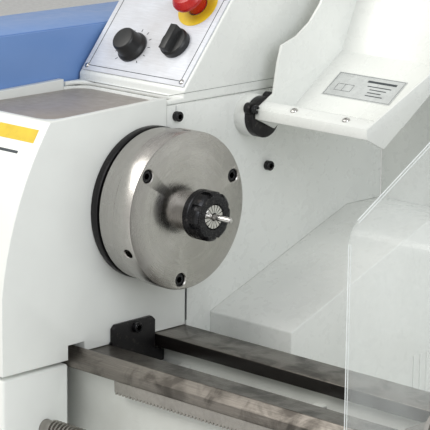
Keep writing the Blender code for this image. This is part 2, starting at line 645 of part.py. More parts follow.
def build_end(idler):
    """End plate with the idler's stud and the cover's hinge pin, and the cover over all of it."""
    ring = [
        *rounded(COVER_FRONT + 0.004, COVER_BOTTOM + 0.004, HINGE_PIN[1] + 0.004, COVER_TOP - 0.001, 0.030, 5),
    ]
    holes = [circle((0, AXIS_Z), 0.030), circle((MOTOR_Y, MOTOR_Z), 0.016, 24),
             circle((SCREW_Y, SCREW_Z), 0.014, 24)]
    plate = profile_x("end_plate", ring, END_PLATE_X, END_PLATE_X + END_PLATE, "blue_paint", holes)
    stud = rod("idler_stud", 0.008, (END_PLATE_X + 0.001, *idler), (GEAR_X - 0.003, *idler), "turned_steel", 24)
    collar = rod("idler_collar", 0.013, (END_PLATE_X + 0.0015, *idler), (GEAR_X + GEAR_WIDTH + GAP, *idler),
                 "turned_steel", 24)
    pin = rod("hinge_pin", PIN_RADIUS, (*HINGE_PIN, AXIS_Z - 0.16), (*HINGE_PIN, AXIS_Z + 0.06), "turned_steel", 16)
    lugs = []
    for index, height in enumerate((-0.158, 0.045)):
        low = (HINGE_PIN[0] - 0.002, HINGE_PIN[1] - 0.002, AXIS_Z + height)
        lugs.append(block(f"hinge_lug_{index}", low, (END_PLATE_X + 0.001, HINGE_PIN[1] + 0.002, low[2] + 0.012),
                          "turned_steel"))
    join(plate, collar, stud, pin, *lugs)
    outer = rounded(COVER_FRONT, COVER_BOTTOM, COVER_BACK, COVER_TOP, 0.032, 5)
    inner = rounded(COVER_FRONT + COVER_SHEET, COVER_BOTTOM + COVER_SHEET, COVER_BACK - COVER_SHEET,
                    COVER_TOP - COVER_SHEET, 0.029, 5)
    right = END_PLATE_X - GAP
    cover = profile_x("end_cover", outer, COVER_LEFT, right, "blue_paint")
    cut(cover, profile_x("cover_inside", inner, COVER_LEFT + COVER_SHEET, right + 0.01, "blue_paint"))
    knuckle = turned("hinge_knuckle", [(0.0058, 0), (0.0058, 0.180)], [(PIN_RADIUS + GAP, 0), (PIN_RADIUS + GAP, 0.180)],
                     (*HINGE_PIN, AXIS_Z - 0.1400), (0, 0, 1), "blue_paint", 24)
    leaf = block("hinge_leaf", (HINGE_PIN[0] - 0.0056, COVER_BACK - 0.001, AXIS_Z - 0.139),
                 (HINGE_PIN[0] - 0.0036, HINGE_PIN[1], AXIS_Z + 0.039), "blue_paint")
    join(cover, knuckle, leaf)


def build_motor_drive():
    left = PULLEY_X
    turned("motor_pulley", [(0, 0), (MOTOR_PULLEY_RADIUS, 0), (MOTOR_PULLEY_RADIUS, PULLEY_WIDTH),
                            (0.0095, PULLEY_WIDTH), (0.0095, HEAD_LEFT + 0.018 - left), (0, HEAD_LEFT + 0.018 - left)],
           [], (left, MOTOR_Y, MOTOR_Z), (1, 0, 0), "turned_steel")
    away = Vector((MOTOR_Y, MOTOR_Z - AXIS_Z))
    lean = math.degrees(math.atan2(away.y, away.x))
    spread = math.degrees(math.acos((SPINDLE_PULLEY_RADIUS - MOTOR_PULLEY_RADIUS) / away.length))
    rings = []
    for lift in (GAP + BELT_THICK, GAP):
        rings.append([
            *arc((0, AXIS_Z), SPINDLE_PULLEY_RADIUS + lift, lean + spread, lean + 360 - spread, 20),
            *arc((MOTOR_Y, MOTOR_Z), MOTOR_PULLEY_RADIUS + lift, lean - spread, lean + spread, 12),
        ])
    profile_x("drive_belt", rings[0], left + 0.001, left + PULLEY_WIDTH - 0.001, "black_rubber", rings[1:])


def build_spindle():
    """Spindle with its bearings, and the collet chuck that it carries."""
    centre = (0, 0, AXIS_Z)
    flange_left = COVER_X + COVER_THICK + 0.0008
    flange_right = flange_left + 0.010
    nose = flange_right + 0.010
    turned("spindle", [(SEAT_RADIUS, GEAR_X - 0.004), (SEAT_RADIUS, END_PLATE_X - 0.001),
                       (JOURNAL_RADIUS, END_PLATE_X - 0.001), (JOURNAL_RADIUS, flange_left),
                       (0.045, flange_left), (0.045, flange_right), (0.030, flange_right), (0.030, nose)],
           [(SPINDLE_BORE, GEAR_X - 0.004), (SPINDLE_BORE, nose)], centre, (1, 0, 0), "turned_steel")
    for name, left in (("rear_bearing", HEAD_LEFT + 0.001), ("front_bearing", HEAD_RIGHT - 0.001 - BEARING_WIDTH)):
        turned(name, [(BEARING_RADIUS, left), (BEARING_RADIUS, left + BEARING_WIDTH)],
               [(JOURNAL_RADIUS + GAP, left), (JOURNAL_RADIUS + GAP, left + BEARING_WIDTH)], centre, (1, 0, 0),
               "turned_steel")
    turned("front_bearing_cover", [(0.078, COVER_X), (0.078, COVER_X + COVER_THICK - 0.001),
                                   (0.077, COVER_X + COVER_THICK)],
           [(JOURNAL_RADIUS + 0.001, COVER_X), (JOURNAL_RADIUS + 0.001, COVER_X + COVER_THICK)], centre, (1, 0, 0),
           "black_oxide", 64)
    back = BACKPLATE_X + BACKPLATE_THICK
    turned("chuck_backplate", [(CHUCK_RADIUS - 0.001, BACKPLATE_X), (CHUCK_RADIUS, BACKPLATE_X + 0.001),
                               (CHUCK_RADIUS, back)],
           [(0.045 + GAP, BACKPLATE_X), (0.045 + GAP, flange_right + GAP), (0.030 + GAP, flange_right + GAP),
            (0.030 + GAP, back)], centre, (1, 0, 0), "turned_steel", 64)
    build_collet_chuck(centre)


def build_collet_chuck(centre):
    bore = 0.0172
    body = turned("chuck_body", [(CHUCK_RADIUS, -CHUCK_THICK), (CHUCK_RADIUS, -0.001), (CHUCK_RADIUS - 0.001, 0),
                                 (NECK_RADIUS, 0), (NECK_RADIUS, NECK_LENGTH + 0.006)],
                  [(bore, -CHUCK_THICK), (bore, NECK_LENGTH + 0.006)], centre, (1, 0, 0), "turned_steel", 64)
    depth = 0.010
    for index, angle in enumerate(FACE_SCREW_ANGLES):
        y = FACE_SCREW_PCD / 2 * math.cos(math.radians(angle))
        z = AXIS_Z + FACE_SCREW_PCD / 2 * math.sin(math.radians(angle))
        cut(body, rod(f"face_hole_{index}", FACE_HOLE_RADIUS, (-depth, y, z), (0.01, y, z), "turned_steel", 16))
        turned(f"chuck_screw_{index + 1}", [(0, 0), (SCREW_HEAD_RADIUS, 0), (SCREW_HEAD_RADIUS, 0.0075),
                                            (SCREW_HEAD_RADIUS - 0.0006, 0.008), (0.0035, 0.008), (0.0035, 0.0045),
                                            (0, 0.0045)],
               [], (-depth + GAP, y, z), (1, 0, 0), "black_oxide", 18)
    nut_left = NECK_LENGTH
    nut_right = NECK_LENGTH + NUT_LENGTH
    turned("collet_nut", [(NUT_RADIUS, nut_left), (NUT_RADIUS, nut_right - 0.004), (NUT_RADIUS - 0.004, nut_right)],
           [(NECK_RADIUS + GAP, nut_left), (NECK_RADIUS + GAP, NECK_LENGTH + 0.0065),
            (COLLET_RADIUS + GAP, NECK_LENGTH + 0.0065), (COLLET_RADIUS + GAP, nut_right - 0.006),
            (0.0130, nut_right)], centre, (1, 0, 0), "black_oxide", 48)
    turned("collet", [(0.0110, 0.000), (COLLET_RADIUS, 0.012), (COLLET_RADIUS, nut_right - 0.006),
                      (0.0126, nut_right - 0.0005)],
           [(ROD_RADIUS + GAP, 0.000), (ROD_RADIUS + GAP, nut_right - 0.0005)], centre, (1, 0, 0), "turned_steel")
    rod("gauge_rod", ROD_RADIUS, (0.002, 0, AXIS_Z), (ROD_REACH, 0, AXIS_Z), "turned_steel", 24)


def build_leadscrew():
    end = BED_RIGHT - 0.005
    shoulder = HEAD_RIGHT + 0.001
    turned("leadscrew", [(0, GEAR_X - 0.002), (SCREW_JOURNAL, GEAR_X - 0.002), (SCREW_JOURNAL, shoulder),
                         (SCREW_RADIUS, shoulder), (SCREW_RADIUS, end - 0.033), (SCREW_JOURNAL, end - 0.033),
                         (SCREW_JOURNAL, end), (0, end)], [], (0, SCREW_Y, SCREW_Z), (1, 0, 0), "turned_steel", 24)
    bracket = block("leadscrew_bracket", (end - 0.032, SCREW_Y - 0.022, SCREW_Z - 0.022),
                    (end - 0.004, FRONT_RAIL[0] - 0.0006, WAY_Z - 0.004), "white_paint", 0.002)
    cut(bracket, rod("bracket_bore", SCREW_JOURNAL + GAP, (end - 0.05, SCREW_Y, SCREW_Z),
                     (end + 0.02, SCREW_Y, SCREW_Z), "white_paint", 24))


def guard_path():
    """The guard's sheet in (y, z), from the lip's bottom edge up to the hood's far edge."""
    y, z = GUARD_Y, GUARD_Z
    return [
        (y - 0.0170, z + 0.0005), (y - 0.0170, z + 0.0110), (y - 0.0020, z + 0.0170), (y + 0.0390, z + 0.0075),
        (y + 0.1140, z + 0.0580), (y + 0.1560, z + 0.1540), (y + 0.0960, z + 0.2570),
    ]


def cheek_ring():
    """The guard's left cheek, cut back in an arc that clears the chuck when the guard is down."""
    y, z = GUARD_Y, GUARD_Z
    clearing = arc((y + 0.0039, z + 0.1641), CHUCK_RADIUS + 0.012, -80, 40, 8)
    path = guard_path()
    return [
        (y - 0.0165, z + 0.0004), (y + 0.0100, z - 0.0127), (y + 0.0385, z + 0.0060), (y + 0.1145, z + 0.0565),
        (y + 0.1570, z + 0.1540), (path[-1][0] + 0.0005, path[-1][1]), *reversed(clearing),
        (y + 0.0145, z + 0.0560), (y + 0.0085, z + 0.0240), (y - 0.0165, z + 0.0106),
    ]


def flange_ring():
    """The guard's right flange: a band along the hood's sheet."""
    y, z = GUARD_Y, GUARD_Z
    path = guard_path()
    return [
        (y - 0.0165, z + 0.0004), (y + 0.0100, z - 0.0127), (y + 0.0385, z + 0.0060), (y + 0.1145, z + 0.0565),
        (y + 0.1570, z + 0.1540), (path[-1][0] + 0.0005, path[-1][1]), (y + 0.0770, z + 0.2450),
        (y + 0.1320, z + 0.1520), (y + 0.0950, z + 0.0640), (y + 0.0820, z + 0.0555), (y - 0.0165, z + 0.0106),
    ]


def build_guard():
    guard = profile_x("chuck_guard", strip(guard_path()[::-1], GUARD_SHEET), GUARD_LEFT + 0.001,
                      GUARD_RIGHT - 0.001, "white_paint")
    join(guard, profile_x("guard_cheek", cheek_ring(), GUARD_LEFT, GUARD_LEFT + SHEET, "white_paint"),
         profile_x("guard_flange_right", flange_ring(), GUARD_RIGHT - SHEET, GUARD_RIGHT, "white_paint"))
    start = COLLAR_END + GAP
    depth = GUARD_LEFT - GAP - start
    flange = turned("guard_flange", [(FLANGE_RADIUS, 0), (FLANGE_RADIUS, depth)],
                    [(0.0063, 0), (0.0063, depth)], (start, GUARD_Y, GUARD_Z), (1, 0, 0), "black_oxide")
    for index, angle in enumerate((63.0, 150.0)):
        y = GUARD_Y + FLANGE_RADIUS * math.cos(math.radians(angle))
        z = GUARD_Z + FLANGE_RADIUS * math.sin(math.radians(angle))
        join(flange, rod(f"flange_ear_{index}", 0.0062, (start + 0.001, y, z), (start + depth - 0.001, y, z),
                         "black_oxide", 20))


def build_carriage():
    front = FRONT_RAIL[0] - 0.0006
    ring = [
        (SADDLE_FRONT, WAY_Z - 0.010), (front, WAY_Z - 0.010), (front, WAY_Z + 0.010),
        (VEE_Y + 0.0087, WAY_Z + 0.010), (VEE_Y + 0.0087, WAY_Z + GAP), (FRONT_RAIL[1], WAY_Z + GAP),
        (FRONT_RAIL[1], WAY_Z + 0.012), (REAR_RAIL[0], WAY_Z + 0.012), (REAR_RAIL[0], WAY_Z + GAP),
        (REAR_RAIL[1] + 0.0006, WAY_Z + GAP), (REAR_RAIL[1] + 0.0006, WAY_Z - 0.004),
        (REAR_RAIL[1] + 0.008, WAY_Z - 0.004), (REAR_RAIL[1] + 0.008, SADDLE_TOP), (SADDLE_FRONT, SADDLE_TOP),
    ]
    right = SADDLE_X + SADDLE_LENGTH
    saddle = profile_x("saddle", ring, SADDLE_X, right, "ground_iron")
    lug = block("screw_lug", (CROSS_X - 0.018, SADDLE_FRONT + 0.001, SADDLE_TOP - 0.002),
                (CROSS_X + 0.018, SADDLE_FRONT + 0.015, SADDLE_TOP + 0.024), "ground_iron")
    passage = rod("screw_passage", 0.0063, (CROSS_X, SADDLE_FRONT - 0.01, CROSS_Z),
                  (CROSS_X, SADDLE_FRONT + 0.03, CROSS_Z), "ground_iron", 24)
    join(saddle, lug)
    cut(saddle, passage)
    apron_top = WAY_Z - 0.010 - GAP
    apron = block("apron", (SADDLE_X - 0.005, SADDLE_FRONT - 0.028, BED_BASE + 0.028),
                  (right + 0.005, front, apron_top), "white_paint", 0.003)
    channel = block("apron_channel", (SADDLE_X - 0.02, SCREW_Y - 0.013, SCREW_Z - 0.013),
                    (right + 0.02, front + 0.01, SCREW_Z + 0.013), "white_paint")
    shaft = rod("apron_bore", 0.0073, (WHEEL_X, SADDLE_FRONT - 0.04, WHEEL_Z), (WHEEL_X, front + 0.01, WHEEL_Z),
                "white_paint", 24)
    cut(apron, channel, shaft)
    build_carriage_wheel(front)
    hub = SADDLE_FRONT - 0.028 - GAP
    lever = rod("half_nut_lever", 0.012, (right - 0.030, hub, SCREW_Z - 0.026),
                (right - 0.030, hub - 0.012, SCREW_Z - 0.026), "black_plastic", 24)
    join(lever, rod("lever_arm", 0.005, (right - 0.030, hub - 0.006, SCREW_Z - 0.026),
                    (right - 0.030, hub - 0.014, SCREW_Z + 0.050), "black_plastic", 16))


def wheel_outer(radius, width, shaft_radius, shaft_length):
    """A handwheel's profile: rim, thin web, hub, then its shaft."""
    return [
        (0, -width), (0.2 * radius, -width), (0.2 * radius, -0.3 * width), (0.8 * radius, -0.3 * width),
        (0.82 * radius, -width), (0.97 * radius, -width), (radius, -0.7 * width), (radius, -0.1 * width),
        (0.97 * radius, 0), (0.3 * radius, 0), (0.3 * radius, 0.004), (shaft_radius, 0.004),
        (shaft_radius, shaft_length), (0, shaft_length),
    ]


def build_carriage_wheel(front):
    """Handwheel, shaft and rack pinion on one axis, which runs along Y."""
    seat = SADDLE_FRONT - 0.028 - 0.0050
    wheel = turned("carriage_handwheel", wheel_outer(0.055, 0.015, 0.007, front - seat + 0.004), [],
                   (WHEEL_X, seat, WHEEL_Z), (0, 1, 0), "turned_steel")
    pinion = rod("rack_pinion", PINION_RADIUS - 0.0001, (WHEEL_X, front + 0.0010, WHEEL_Z),
                 (WHEEL_X, FRONT_RAIL[0] + 0.0145, WHEEL_Z), "turned_steel", 24)
    grip = rod("wheel_grip", 0.0075, (WHEEL_X - 0.044, seat - 0.060, WHEEL_Z), (WHEEL_X - 0.044, seat - 0.004, WHEEL_Z),
               "black_plastic", 20)
    join(wheel, pinion, grip)


def build_cross_slide():
    low, high = SADDLE_TOP + GAP, SADDLE_TOP + CROSS_THICK
    slide = block("cross_slide", (CROSS_X - 0.040, -0.1195, low), (CROSS_X + 0.040, 0.050, high), "ground_iron", 0.0015)
    slot = block("cross_slot", (CROSS_X - 0.009, -0.13, low - 0.01), (CROSS_X + 0.009, 0.06, CROSS_Z + 0.0085),
                 "ground_iron")
    cut(slide, slot)
    seat = SADDLE_FRONT - 0.018
    wheel = turned("cross_handwheel", wheel_outer(0.028, 0.010, 0.006, 0.150), [], (CROSS_X, seat, CROSS_Z), (0, 1, 0),
                   "turned_steel")
    dial = rod("cross_dial", 0.0175, (CROSS_X, seat + 0.002, CROSS_Z), (CROSS_X, seat + 0.014, CROSS_Z),
               "turned_steel", 32)
    grip = rod("cross_grip", 0.0045, (CROSS_X + 0.021, seat - 0.036, CROSS_Z), (CROSS_X + 0.021, seat - 0.003, CROSS_Z),
               "black_plastic", 16)
    join(wheel, dial, grip)
    base_top = high + GAP + 0.0115
    rod("topslide_base", 0.036, (CROSS_X, POST_Y, high + GAP), (CROSS_X, POST_Y, base_top), "ground_iron", 40)
    build_topslide(base_top + GAP)


def build_topslide(low):
    high = low + 0.0197
    slide = block("topslide", (CROSS_X - 0.045, POST_Y - 0.025, low), (CROSS_X + 0.0625, POST_Y + 0.025, high),
                  "ground_iron", 0.0015)
    screw_z = (low + high) / 2
    end = CROSS_X + 0.0625
    cut(slide, rod("topslide_bore", 0.0053, (end - 0.03, POST_Y, screw_z), (end + 0.01, POST_Y, screw_z),
                   "ground_iron", 24))
    wheel = turned("topslide_handle", wheel_outer(0.018, 0.008, 0.005, 0.034), [],
                   (end + 0.0045, POST_Y, screw_z), (-1, 0, 0), "turned_steel")
    join(wheel, rod("topslide_grip", 0.004, (end + 0.0065, POST_Y, screw_z + 0.0140),
                    (end + 0.0365, POST_Y, screw_z + 0.0140), "black_plastic", 16))
    build_tool_post(high + GAP)


def build_tool_post(low):
    side, core = 0.028, 0.015
    ledge = AXIS_Z - 0.0135
    post = block("tool_post", (POST_X - side, POST_Y - side, low), (POST_X + side, POST_Y + side, ledge), "black_oxide")
    stem = block("post_core", (POST_X - core, POST_Y - core, low + 0.004),
                 (POST_X + core, POST_Y + core, AXIS_Z + 0.010), "black_oxide")
    crown = block("post_crown", (POST_X - side, POST_Y - side, AXIS_Z + 0.003),
                  (POST_X + side, POST_Y + side, AXIS_Z + 0.020), "black_oxide")
    join(post, stem, crown)
    for index in range(4):
        across = (-1, 1)[index % 2] * 0.014
        along = (-1, 1)[index // 2] * 0.021
        join(post, rod(f"post_screw_{index}", 0.0042, (POST_X + along, POST_Y + across, AXIS_Z + 0.0008),
                       (POST_X + along, POST_Y + across, AXIS_Z + 0.028), "black_oxide", 12))
    tool_left = POST_X - side + 0.0010
    shank = block("cutting_tool", (tool_left, -0.095, ledge + GAP), (tool_left + 0.011, -0.002, ledge + 0.0120),
                  "turned_steel")
    nose = block("tool_clearance", (tool_left + 0.006, -0.020, ledge - 0.01), (tool_left + 0.02, 0.01, ledge + 0.02),
                 "turned_steel")
    nose.rotation_euler = (0, 0, math.radians(25))
    cut(shank, nose)
    top = AXIS_Z + 0.020 + GAP
    lever = rod("tool_post_lever", 0.010, (POST_X, POST_Y, top), (POST_X, POST_Y, top + 0.018), "turned_steel", 24)
    join(lever, rod("post_arm", 0.0045, (POST_X, POST_Y, top + 0.012), (POST_X + 0.050, POST_Y - 0.020, top + 0.040),
                    "turned_steel", 16))


def build_shield():
    """The bent clear chip shield in front of the carriage."""
    face = SADDLE_FRONT - GAP
    knee = AXIS_Z + 0.050
    bend = arc((face - SHIELD_SHEET + 0.022, knee), 0.022, 180, 120, 5)
    crest = (face + 0.104, bend[-1][1] + (0.104 - bend[-1][0] + face) * math.tan(math.radians(30)))
    path = [crest, *reversed(bend), (face - SHIELD_SHEET, WAY_Z + 0.005)]
    shield = profile_x("chip_shield", strip(path, SHIELD_SHEET), SHIELD_X, SHIELD_X + SHIELD_LENGTH,
                       "clear_polycarbonate")
    cut(shield, block("shield_notch", (CROSS_X - 0.031, face - 0.02, WAY_Z - 0.02),
                      (CROSS_X + 0.031, face + 0.02, CROSS_Z + 0.027), "clear_polycarbonate"))


def build_tailstock():
    right = TAIL_X + TAIL_LENGTH
    top = arc((0, AXIS_Z), BARREL_RADIUS, -45, 225, 20)
    ring = [
        (-0.096, WAY_Z + 0.010), (VEE_Y + 0.0087, WAY_Z + 0.010), (VEE_Y + 0.0087, WAY_Z + GAP),
        (FRONT_RAIL[1], WAY_Z + GAP), (FRONT_RAIL[1], WAY_Z + 0.012), (REAR_RAIL[0], WAY_Z + 0.012),
        (REAR_RAIL[0], WAY_Z + GAP), (REAR_RAIL[1] - 0.001, WAY_Z + GAP), (REAR_RAIL[1] - 0.001, WAY_Z + 0.036),
        (0.028, WAY_Z + 0.050), *top, (-0.028, WAY_Z + 0.055), (-0.096, WAY_Z + 0.036),
    ]
    body = profile_x("tailstock_body", ring, TAIL_X, right, "white_paint")
    cut(body, rod("tail_bore", QUILL_RADIUS + GAP, (TAIL_X - 0.01, 0, AXIS_Z), (right + 0.01, 0, AXIS_Z),
                  "white_paint"))
    rod("tailstock_quill", QUILL_RADIUS, (QUILL_NOSE, 0, AXIS_Z), (right - 0.030, 0, AXIS_Z), "turned_steel")
    turned("tailstock_centre", [(0, -0.040), (0.0105, -0.019), (0.0105, -0.008), (0.009, -0.008), (0.009, -GAP),
                                (0, -GAP)], [], (QUILL_NOSE, 0, AXIS_Z), (1, 0, 0), "turned_steel", 24)
    wheel = turned("tailstock_handwheel", wheel_outer(0.045, 0.013, 0.008, 0.020), [],
                   (right + 0.0045, 0, AXIS_Z), (-1, 0, 0), "turned_steel")
    join(wheel, rod("tail_grip", 0.0065, (right + 0.008, 0, AXIS_Z + 0.036), (right + 0.058, 0, AXIS_Z + 0.036),
                    "black_plastic", 20))
    seat = AXIS_Z + BARREL_RADIUS
    lock = rod("quill_lock_lever", 0.009, (TAIL_X + 0.040, 0, seat + GAP), (TAIL_X + 0.040, 0, seat + 0.016),
               "turned_steel", 24)
    join(lock, rod("lock_arm", 0.004, (TAIL_X + 0.040, 0, seat + 0.010), (TAIL_X + 0.040, -0.050, seat + 0.030),
                   "turned_steel", 16))
    build_tail_clamp(right)


def build_tail_clamp(right):
    """Clamp plate under the rails, its bolt, and the lever at the back."""
    middle = (TAIL_X + right) / 2
    clamp = block("tailstock_clamp", (middle - 0.040, FRONT_RAIL[1] - 0.014, RAIL_BASE - 0.0125),
                  (middle + 0.040, REAR_RAIL[0] + 0.012, RAIL_BASE - 0.001 - GAP), "ground_iron")
    bolt_y = (FRONT_RAIL[1] + REAR_RAIL[0]) / 2
    join(clamp, rod("clamp_bolt", 0.006, (middle, bolt_y, RAIL_BASE - 0.006), (middle, bolt_y, WAY_Z + 0.012 - GAP),
                    "ground_iron", 20))
    back = REAR_RAIL[1] - 0.001 + GAP
    pivot = (right - 0.030, back, WAY_Z + 0.018)
    lever = rod("clamp_lever", 0.011, pivot, (pivot[0], back + 0.014, pivot[2]), "turned_steel", 24)
    join(lever, rod("clamp_arm", 0.0045, (pivot[0], back + 0.009, pivot[2]),
                    (pivot[0], back + 0.035, pivot[2] + 0.100), "turned_steel", 16))


def main():
    clear_scene()
    make_materials()
    build_tray()
    build_bed()
    build_headstock()
    build_cabinet()
    build_motor_housing()
    build_control_box()
    build_end(build_feed_train())
    build_motor_drive()
    build_spindle()
    build_leadscrew()
    build_guard()
    build_carriage()
    build_cross_slide()
    build_shield()
    build_tailstock()
    bpy.context.view_layer.update()


main()
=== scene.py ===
"""Looks of the bench engine lathe: finishes, fine pieces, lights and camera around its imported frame."""

import json
import math

import bmesh
import bpy
from mathutils import Matrix, Vector

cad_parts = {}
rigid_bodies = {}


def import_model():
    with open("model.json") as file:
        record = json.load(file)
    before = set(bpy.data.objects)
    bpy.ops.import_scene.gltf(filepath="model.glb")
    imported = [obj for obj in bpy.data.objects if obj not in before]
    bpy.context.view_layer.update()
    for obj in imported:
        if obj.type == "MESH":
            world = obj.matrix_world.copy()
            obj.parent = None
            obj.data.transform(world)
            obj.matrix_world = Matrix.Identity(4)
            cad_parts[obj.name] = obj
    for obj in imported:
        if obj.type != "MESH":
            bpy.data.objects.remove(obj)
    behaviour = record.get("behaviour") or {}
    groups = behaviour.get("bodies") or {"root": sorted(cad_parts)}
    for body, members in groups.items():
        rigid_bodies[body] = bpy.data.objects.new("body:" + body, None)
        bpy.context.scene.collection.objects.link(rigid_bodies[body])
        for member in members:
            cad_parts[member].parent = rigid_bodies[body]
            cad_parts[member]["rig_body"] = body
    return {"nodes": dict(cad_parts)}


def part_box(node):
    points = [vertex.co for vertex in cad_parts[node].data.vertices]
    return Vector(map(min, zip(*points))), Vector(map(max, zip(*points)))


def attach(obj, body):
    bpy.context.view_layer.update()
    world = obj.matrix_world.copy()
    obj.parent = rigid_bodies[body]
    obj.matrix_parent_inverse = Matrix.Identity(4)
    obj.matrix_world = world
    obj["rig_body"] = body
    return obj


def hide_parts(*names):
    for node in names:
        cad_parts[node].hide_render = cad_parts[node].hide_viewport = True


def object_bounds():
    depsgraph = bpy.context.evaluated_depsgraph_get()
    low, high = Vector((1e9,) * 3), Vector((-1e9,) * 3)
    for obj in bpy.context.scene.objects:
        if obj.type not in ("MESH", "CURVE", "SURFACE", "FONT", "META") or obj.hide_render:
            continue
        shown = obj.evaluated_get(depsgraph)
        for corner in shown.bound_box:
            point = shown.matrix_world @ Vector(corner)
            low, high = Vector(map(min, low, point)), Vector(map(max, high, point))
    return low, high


bl_info = {
    "name": "Bench engine lathe",
    "version": (1, 0, 0),
    "blender": (4, 5, 0),
    "location": "3D View > Sidebar > Lathe",
    "description": "Finishes and fine pieces of a bench engine lathe around its solid model",
    "category": "Object",
}

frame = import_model()
CAD_LOW, CAD_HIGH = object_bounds()


def middle(node):
    """The centre of a solid's box."""
    low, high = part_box(node)
    return (low + high) / 2


# The frame's origin lies under the chuck's front face, on the spindle's centre line.
AXIS_Z = middle("chuck_backplate").z
AXIS = Vector((0.0, 0.0, AXIS_Z))
HEAD_LOW, HEAD_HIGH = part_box("headstock")
WALL_X = HEAD_HIGH.x
CHUCK_RADIUS = (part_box("chuck_body")[1].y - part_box("chuck_body")[0].y) / 2
CHUCK_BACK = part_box("chuck_body")[0].x
NUT_LOW, NUT_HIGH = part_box("collet_nut")
NUT_RADIUS = (NUT_HIGH.y - NUT_LOW.y) / 2
ROD_LOW, ROD_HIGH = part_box("gauge_rod")
ROD_RADIUS = (ROD_HIGH.y - ROD_LOW.y) / 2
WAY_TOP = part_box("bed")[1].z
RAIL_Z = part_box("feed_rack")[1].z + 0.0013
PANEL_SLOPE = math.radians(51)
PANEL_OUT = Vector((0, -math.sin(PANEL_SLOPE), math.cos(PANEL_SLOPE)))
PANEL_UP = Vector((0, math.cos(PANEL_SLOPE), math.sin(PANEL_SLOPE)))
PANEL_FOOT = Vector((0, 0.054, AXIS_Z + 0.106))
HINGE = Vector((0, 0.148, AXIS_Z + 0.071))
SADDLE_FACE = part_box("saddle")[0].y
SADDLE_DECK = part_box("saddle")[1].z - 0.024
ALONG_X = Vector((1, 0, 0))
ALONG_Y = Vector((0, 1, 0))
ALONG_Z = Vector((0, 0, 1))


def hex_colour(name, words, code):
    return bpy.props.StringProperty(name=name, description=words, default=code)


def length(name, words, metres):
    return bpy.props.FloatProperty(name=name, description=words, default=metres, unit="LENGTH")


def power(name, words, watts):
    return bpy.props.FloatProperty(name=name, description=words, default=watts, subtype="POWER")


def count_of(name, words, number):
    return bpy.props.IntProperty(name=name, description=words, default=number)


class LatheColours(bpy.types.PropertyGroup):
    """Base colours of the lathe's finishes, as sRGB hex."""

    enamel: hex_colour("Enamel", "Off-white enamel", "#E6E8E4")
    blue: hex_colour("Blue enamel", "End cover's blue enamel", "#6C90C8")
    iron: hex_colour("Ground iron", "Ways and slides", "#8B857E")
    steel: hex_colour("Turned steel", "Chuck and handwheels", "#B9B6B2")
    oxide: hex_colour("Black oxide", "Nut, screws and brackets", "#2B2A2B")
    mat: hex_colour("Tray mat", "Mat on the headstock", "#8F8781")
    panel: hex_colour("Panel sheet", "Control panel's sheet", "#DADDE4")
    floor: hex_colour("Floor", "Floor under the lathe", "#E9E9E8")


class LatheSizes(bpy.types.PropertyGroup):
    """Sizes of the lathe's fine pieces, and the lights' powers."""

    screw_pitch: length("Leadscrew pitch", "Distance between its threads", 0.005)
    rack_pitch: length("Rack pitch", "Distance between the rack's teeth", 0.0047)
    notches: count_of("Nut notches", "Spanner notches round the collet nut", 8)
    slits: count_of("Collet slits", "Slits in the collet's face", 16)
    plate_width: length("Rating plate width", "Width of the plate on the guard", 0.092)
    plate_height: length("Rating plate height", "Height of that plate", 0.036)
    key_light: power("Key light", "Power of the large soft light", 38.0)
    fill_light: power("Fill light", "Power of the side light", 24.0)


def colours():
    return bpy.context.scene.lathe_colours


def sizes():
    return bpy.context.scene.lathe_sizes


# Finishes ---------------------------------------------------------------------------------------


def linear(code):
    """An sRGB hex colour as linear RGBA."""
    channels = [int(code[at:at + 2], 16) / 255 for at in (1, 3, 5)]
    return (*[c / 12.92 if c <= 0.04045 else ((c + 0.055) / 1.055) ** 2.4 for c in channels], 1.0)


def darker(base, share):
    """A colour with each channel taken down to this share."""
    return [channel * share for channel in base[:3]] + [1.0]


def per(millimetres):
    """A pattern's scale for features of this size."""
    return 1000.0 / millimetres


def add_node(tree, kind, inputs=None, **settings):
    """Adds a node with its settings, and its inputs as values or links."""
    node = tree.nodes.new("ShaderNode" + kind)
    for key, value in settings.items():
        setattr(node, key, value)
    for key, value in (inputs or {}).items():
        if isinstance(value, bpy.types.NodeSocket):
            tree.links.new(value, node.inputs[key])
        else:
            node.inputs[key].default_value = value
    return node


def begin(name, shader):
    """A new material, its node tree and its shader with these sockets set."""
    material = bpy.data.materials.new(name)
    material.use_nodes = True
    tree = material.node_tree
    principled = tree.nodes["Principled BSDF"]
    for key, value in shader.items():
        principled.inputs[key].default_value = value
    return material, tree, principled


def place(tree, location=(0, 0, 0), turn=(0, 0, 0), scale=(1, 1, 1)):
    """Object coordinates, centred, turned and scaled."""
    source = add_node(tree, "TexCoord")
    centred = add_node(tree, "VectorMath", {0: source.outputs["Object"], 1: location}, operation="SUBTRACT")
    return add_node(tree, "Mapping", {"Vector": centred.outputs[0], "Rotation": turn, "Scale": scale},
                    vector_type="POINT").outputs[0]


def noise(tree, vector, size, detail=3.0, rough=0.55, distortion=0.0):
    """Noise whose features are about this many millimetres across, as a value."""
    return add_node(tree, "TexNoise", {"Vector": vector, "Scale": per(size), "Detail": detail, "Roughness": rough,
                                       "Distortion": distortion}).outputs["Fac"]


def spread(tree, value, low, high, to_low=0.0, to_high=1.0):
    """A value stretched from one range to another."""
    return add_node(tree, "MapRange", {"Value": value, "From Min": low, "From Max": high, "To Min": to_low,
                                       "To Max": to_high}).outputs[0]


def tint(tree, share, first, second):
    """A colour between two, by this share."""
    mix = add_node(tree, "Mix", {0: share, 6: first, 7: second}, data_type="RGBA")
    return mix.outputs[2]


def together(tree, first, second, operation="MULTIPLY"):
    """Two values put together, by this sum."""
    return add_node(tree, "Math", {0: first, 1: second}, operation=operation).outputs[0]


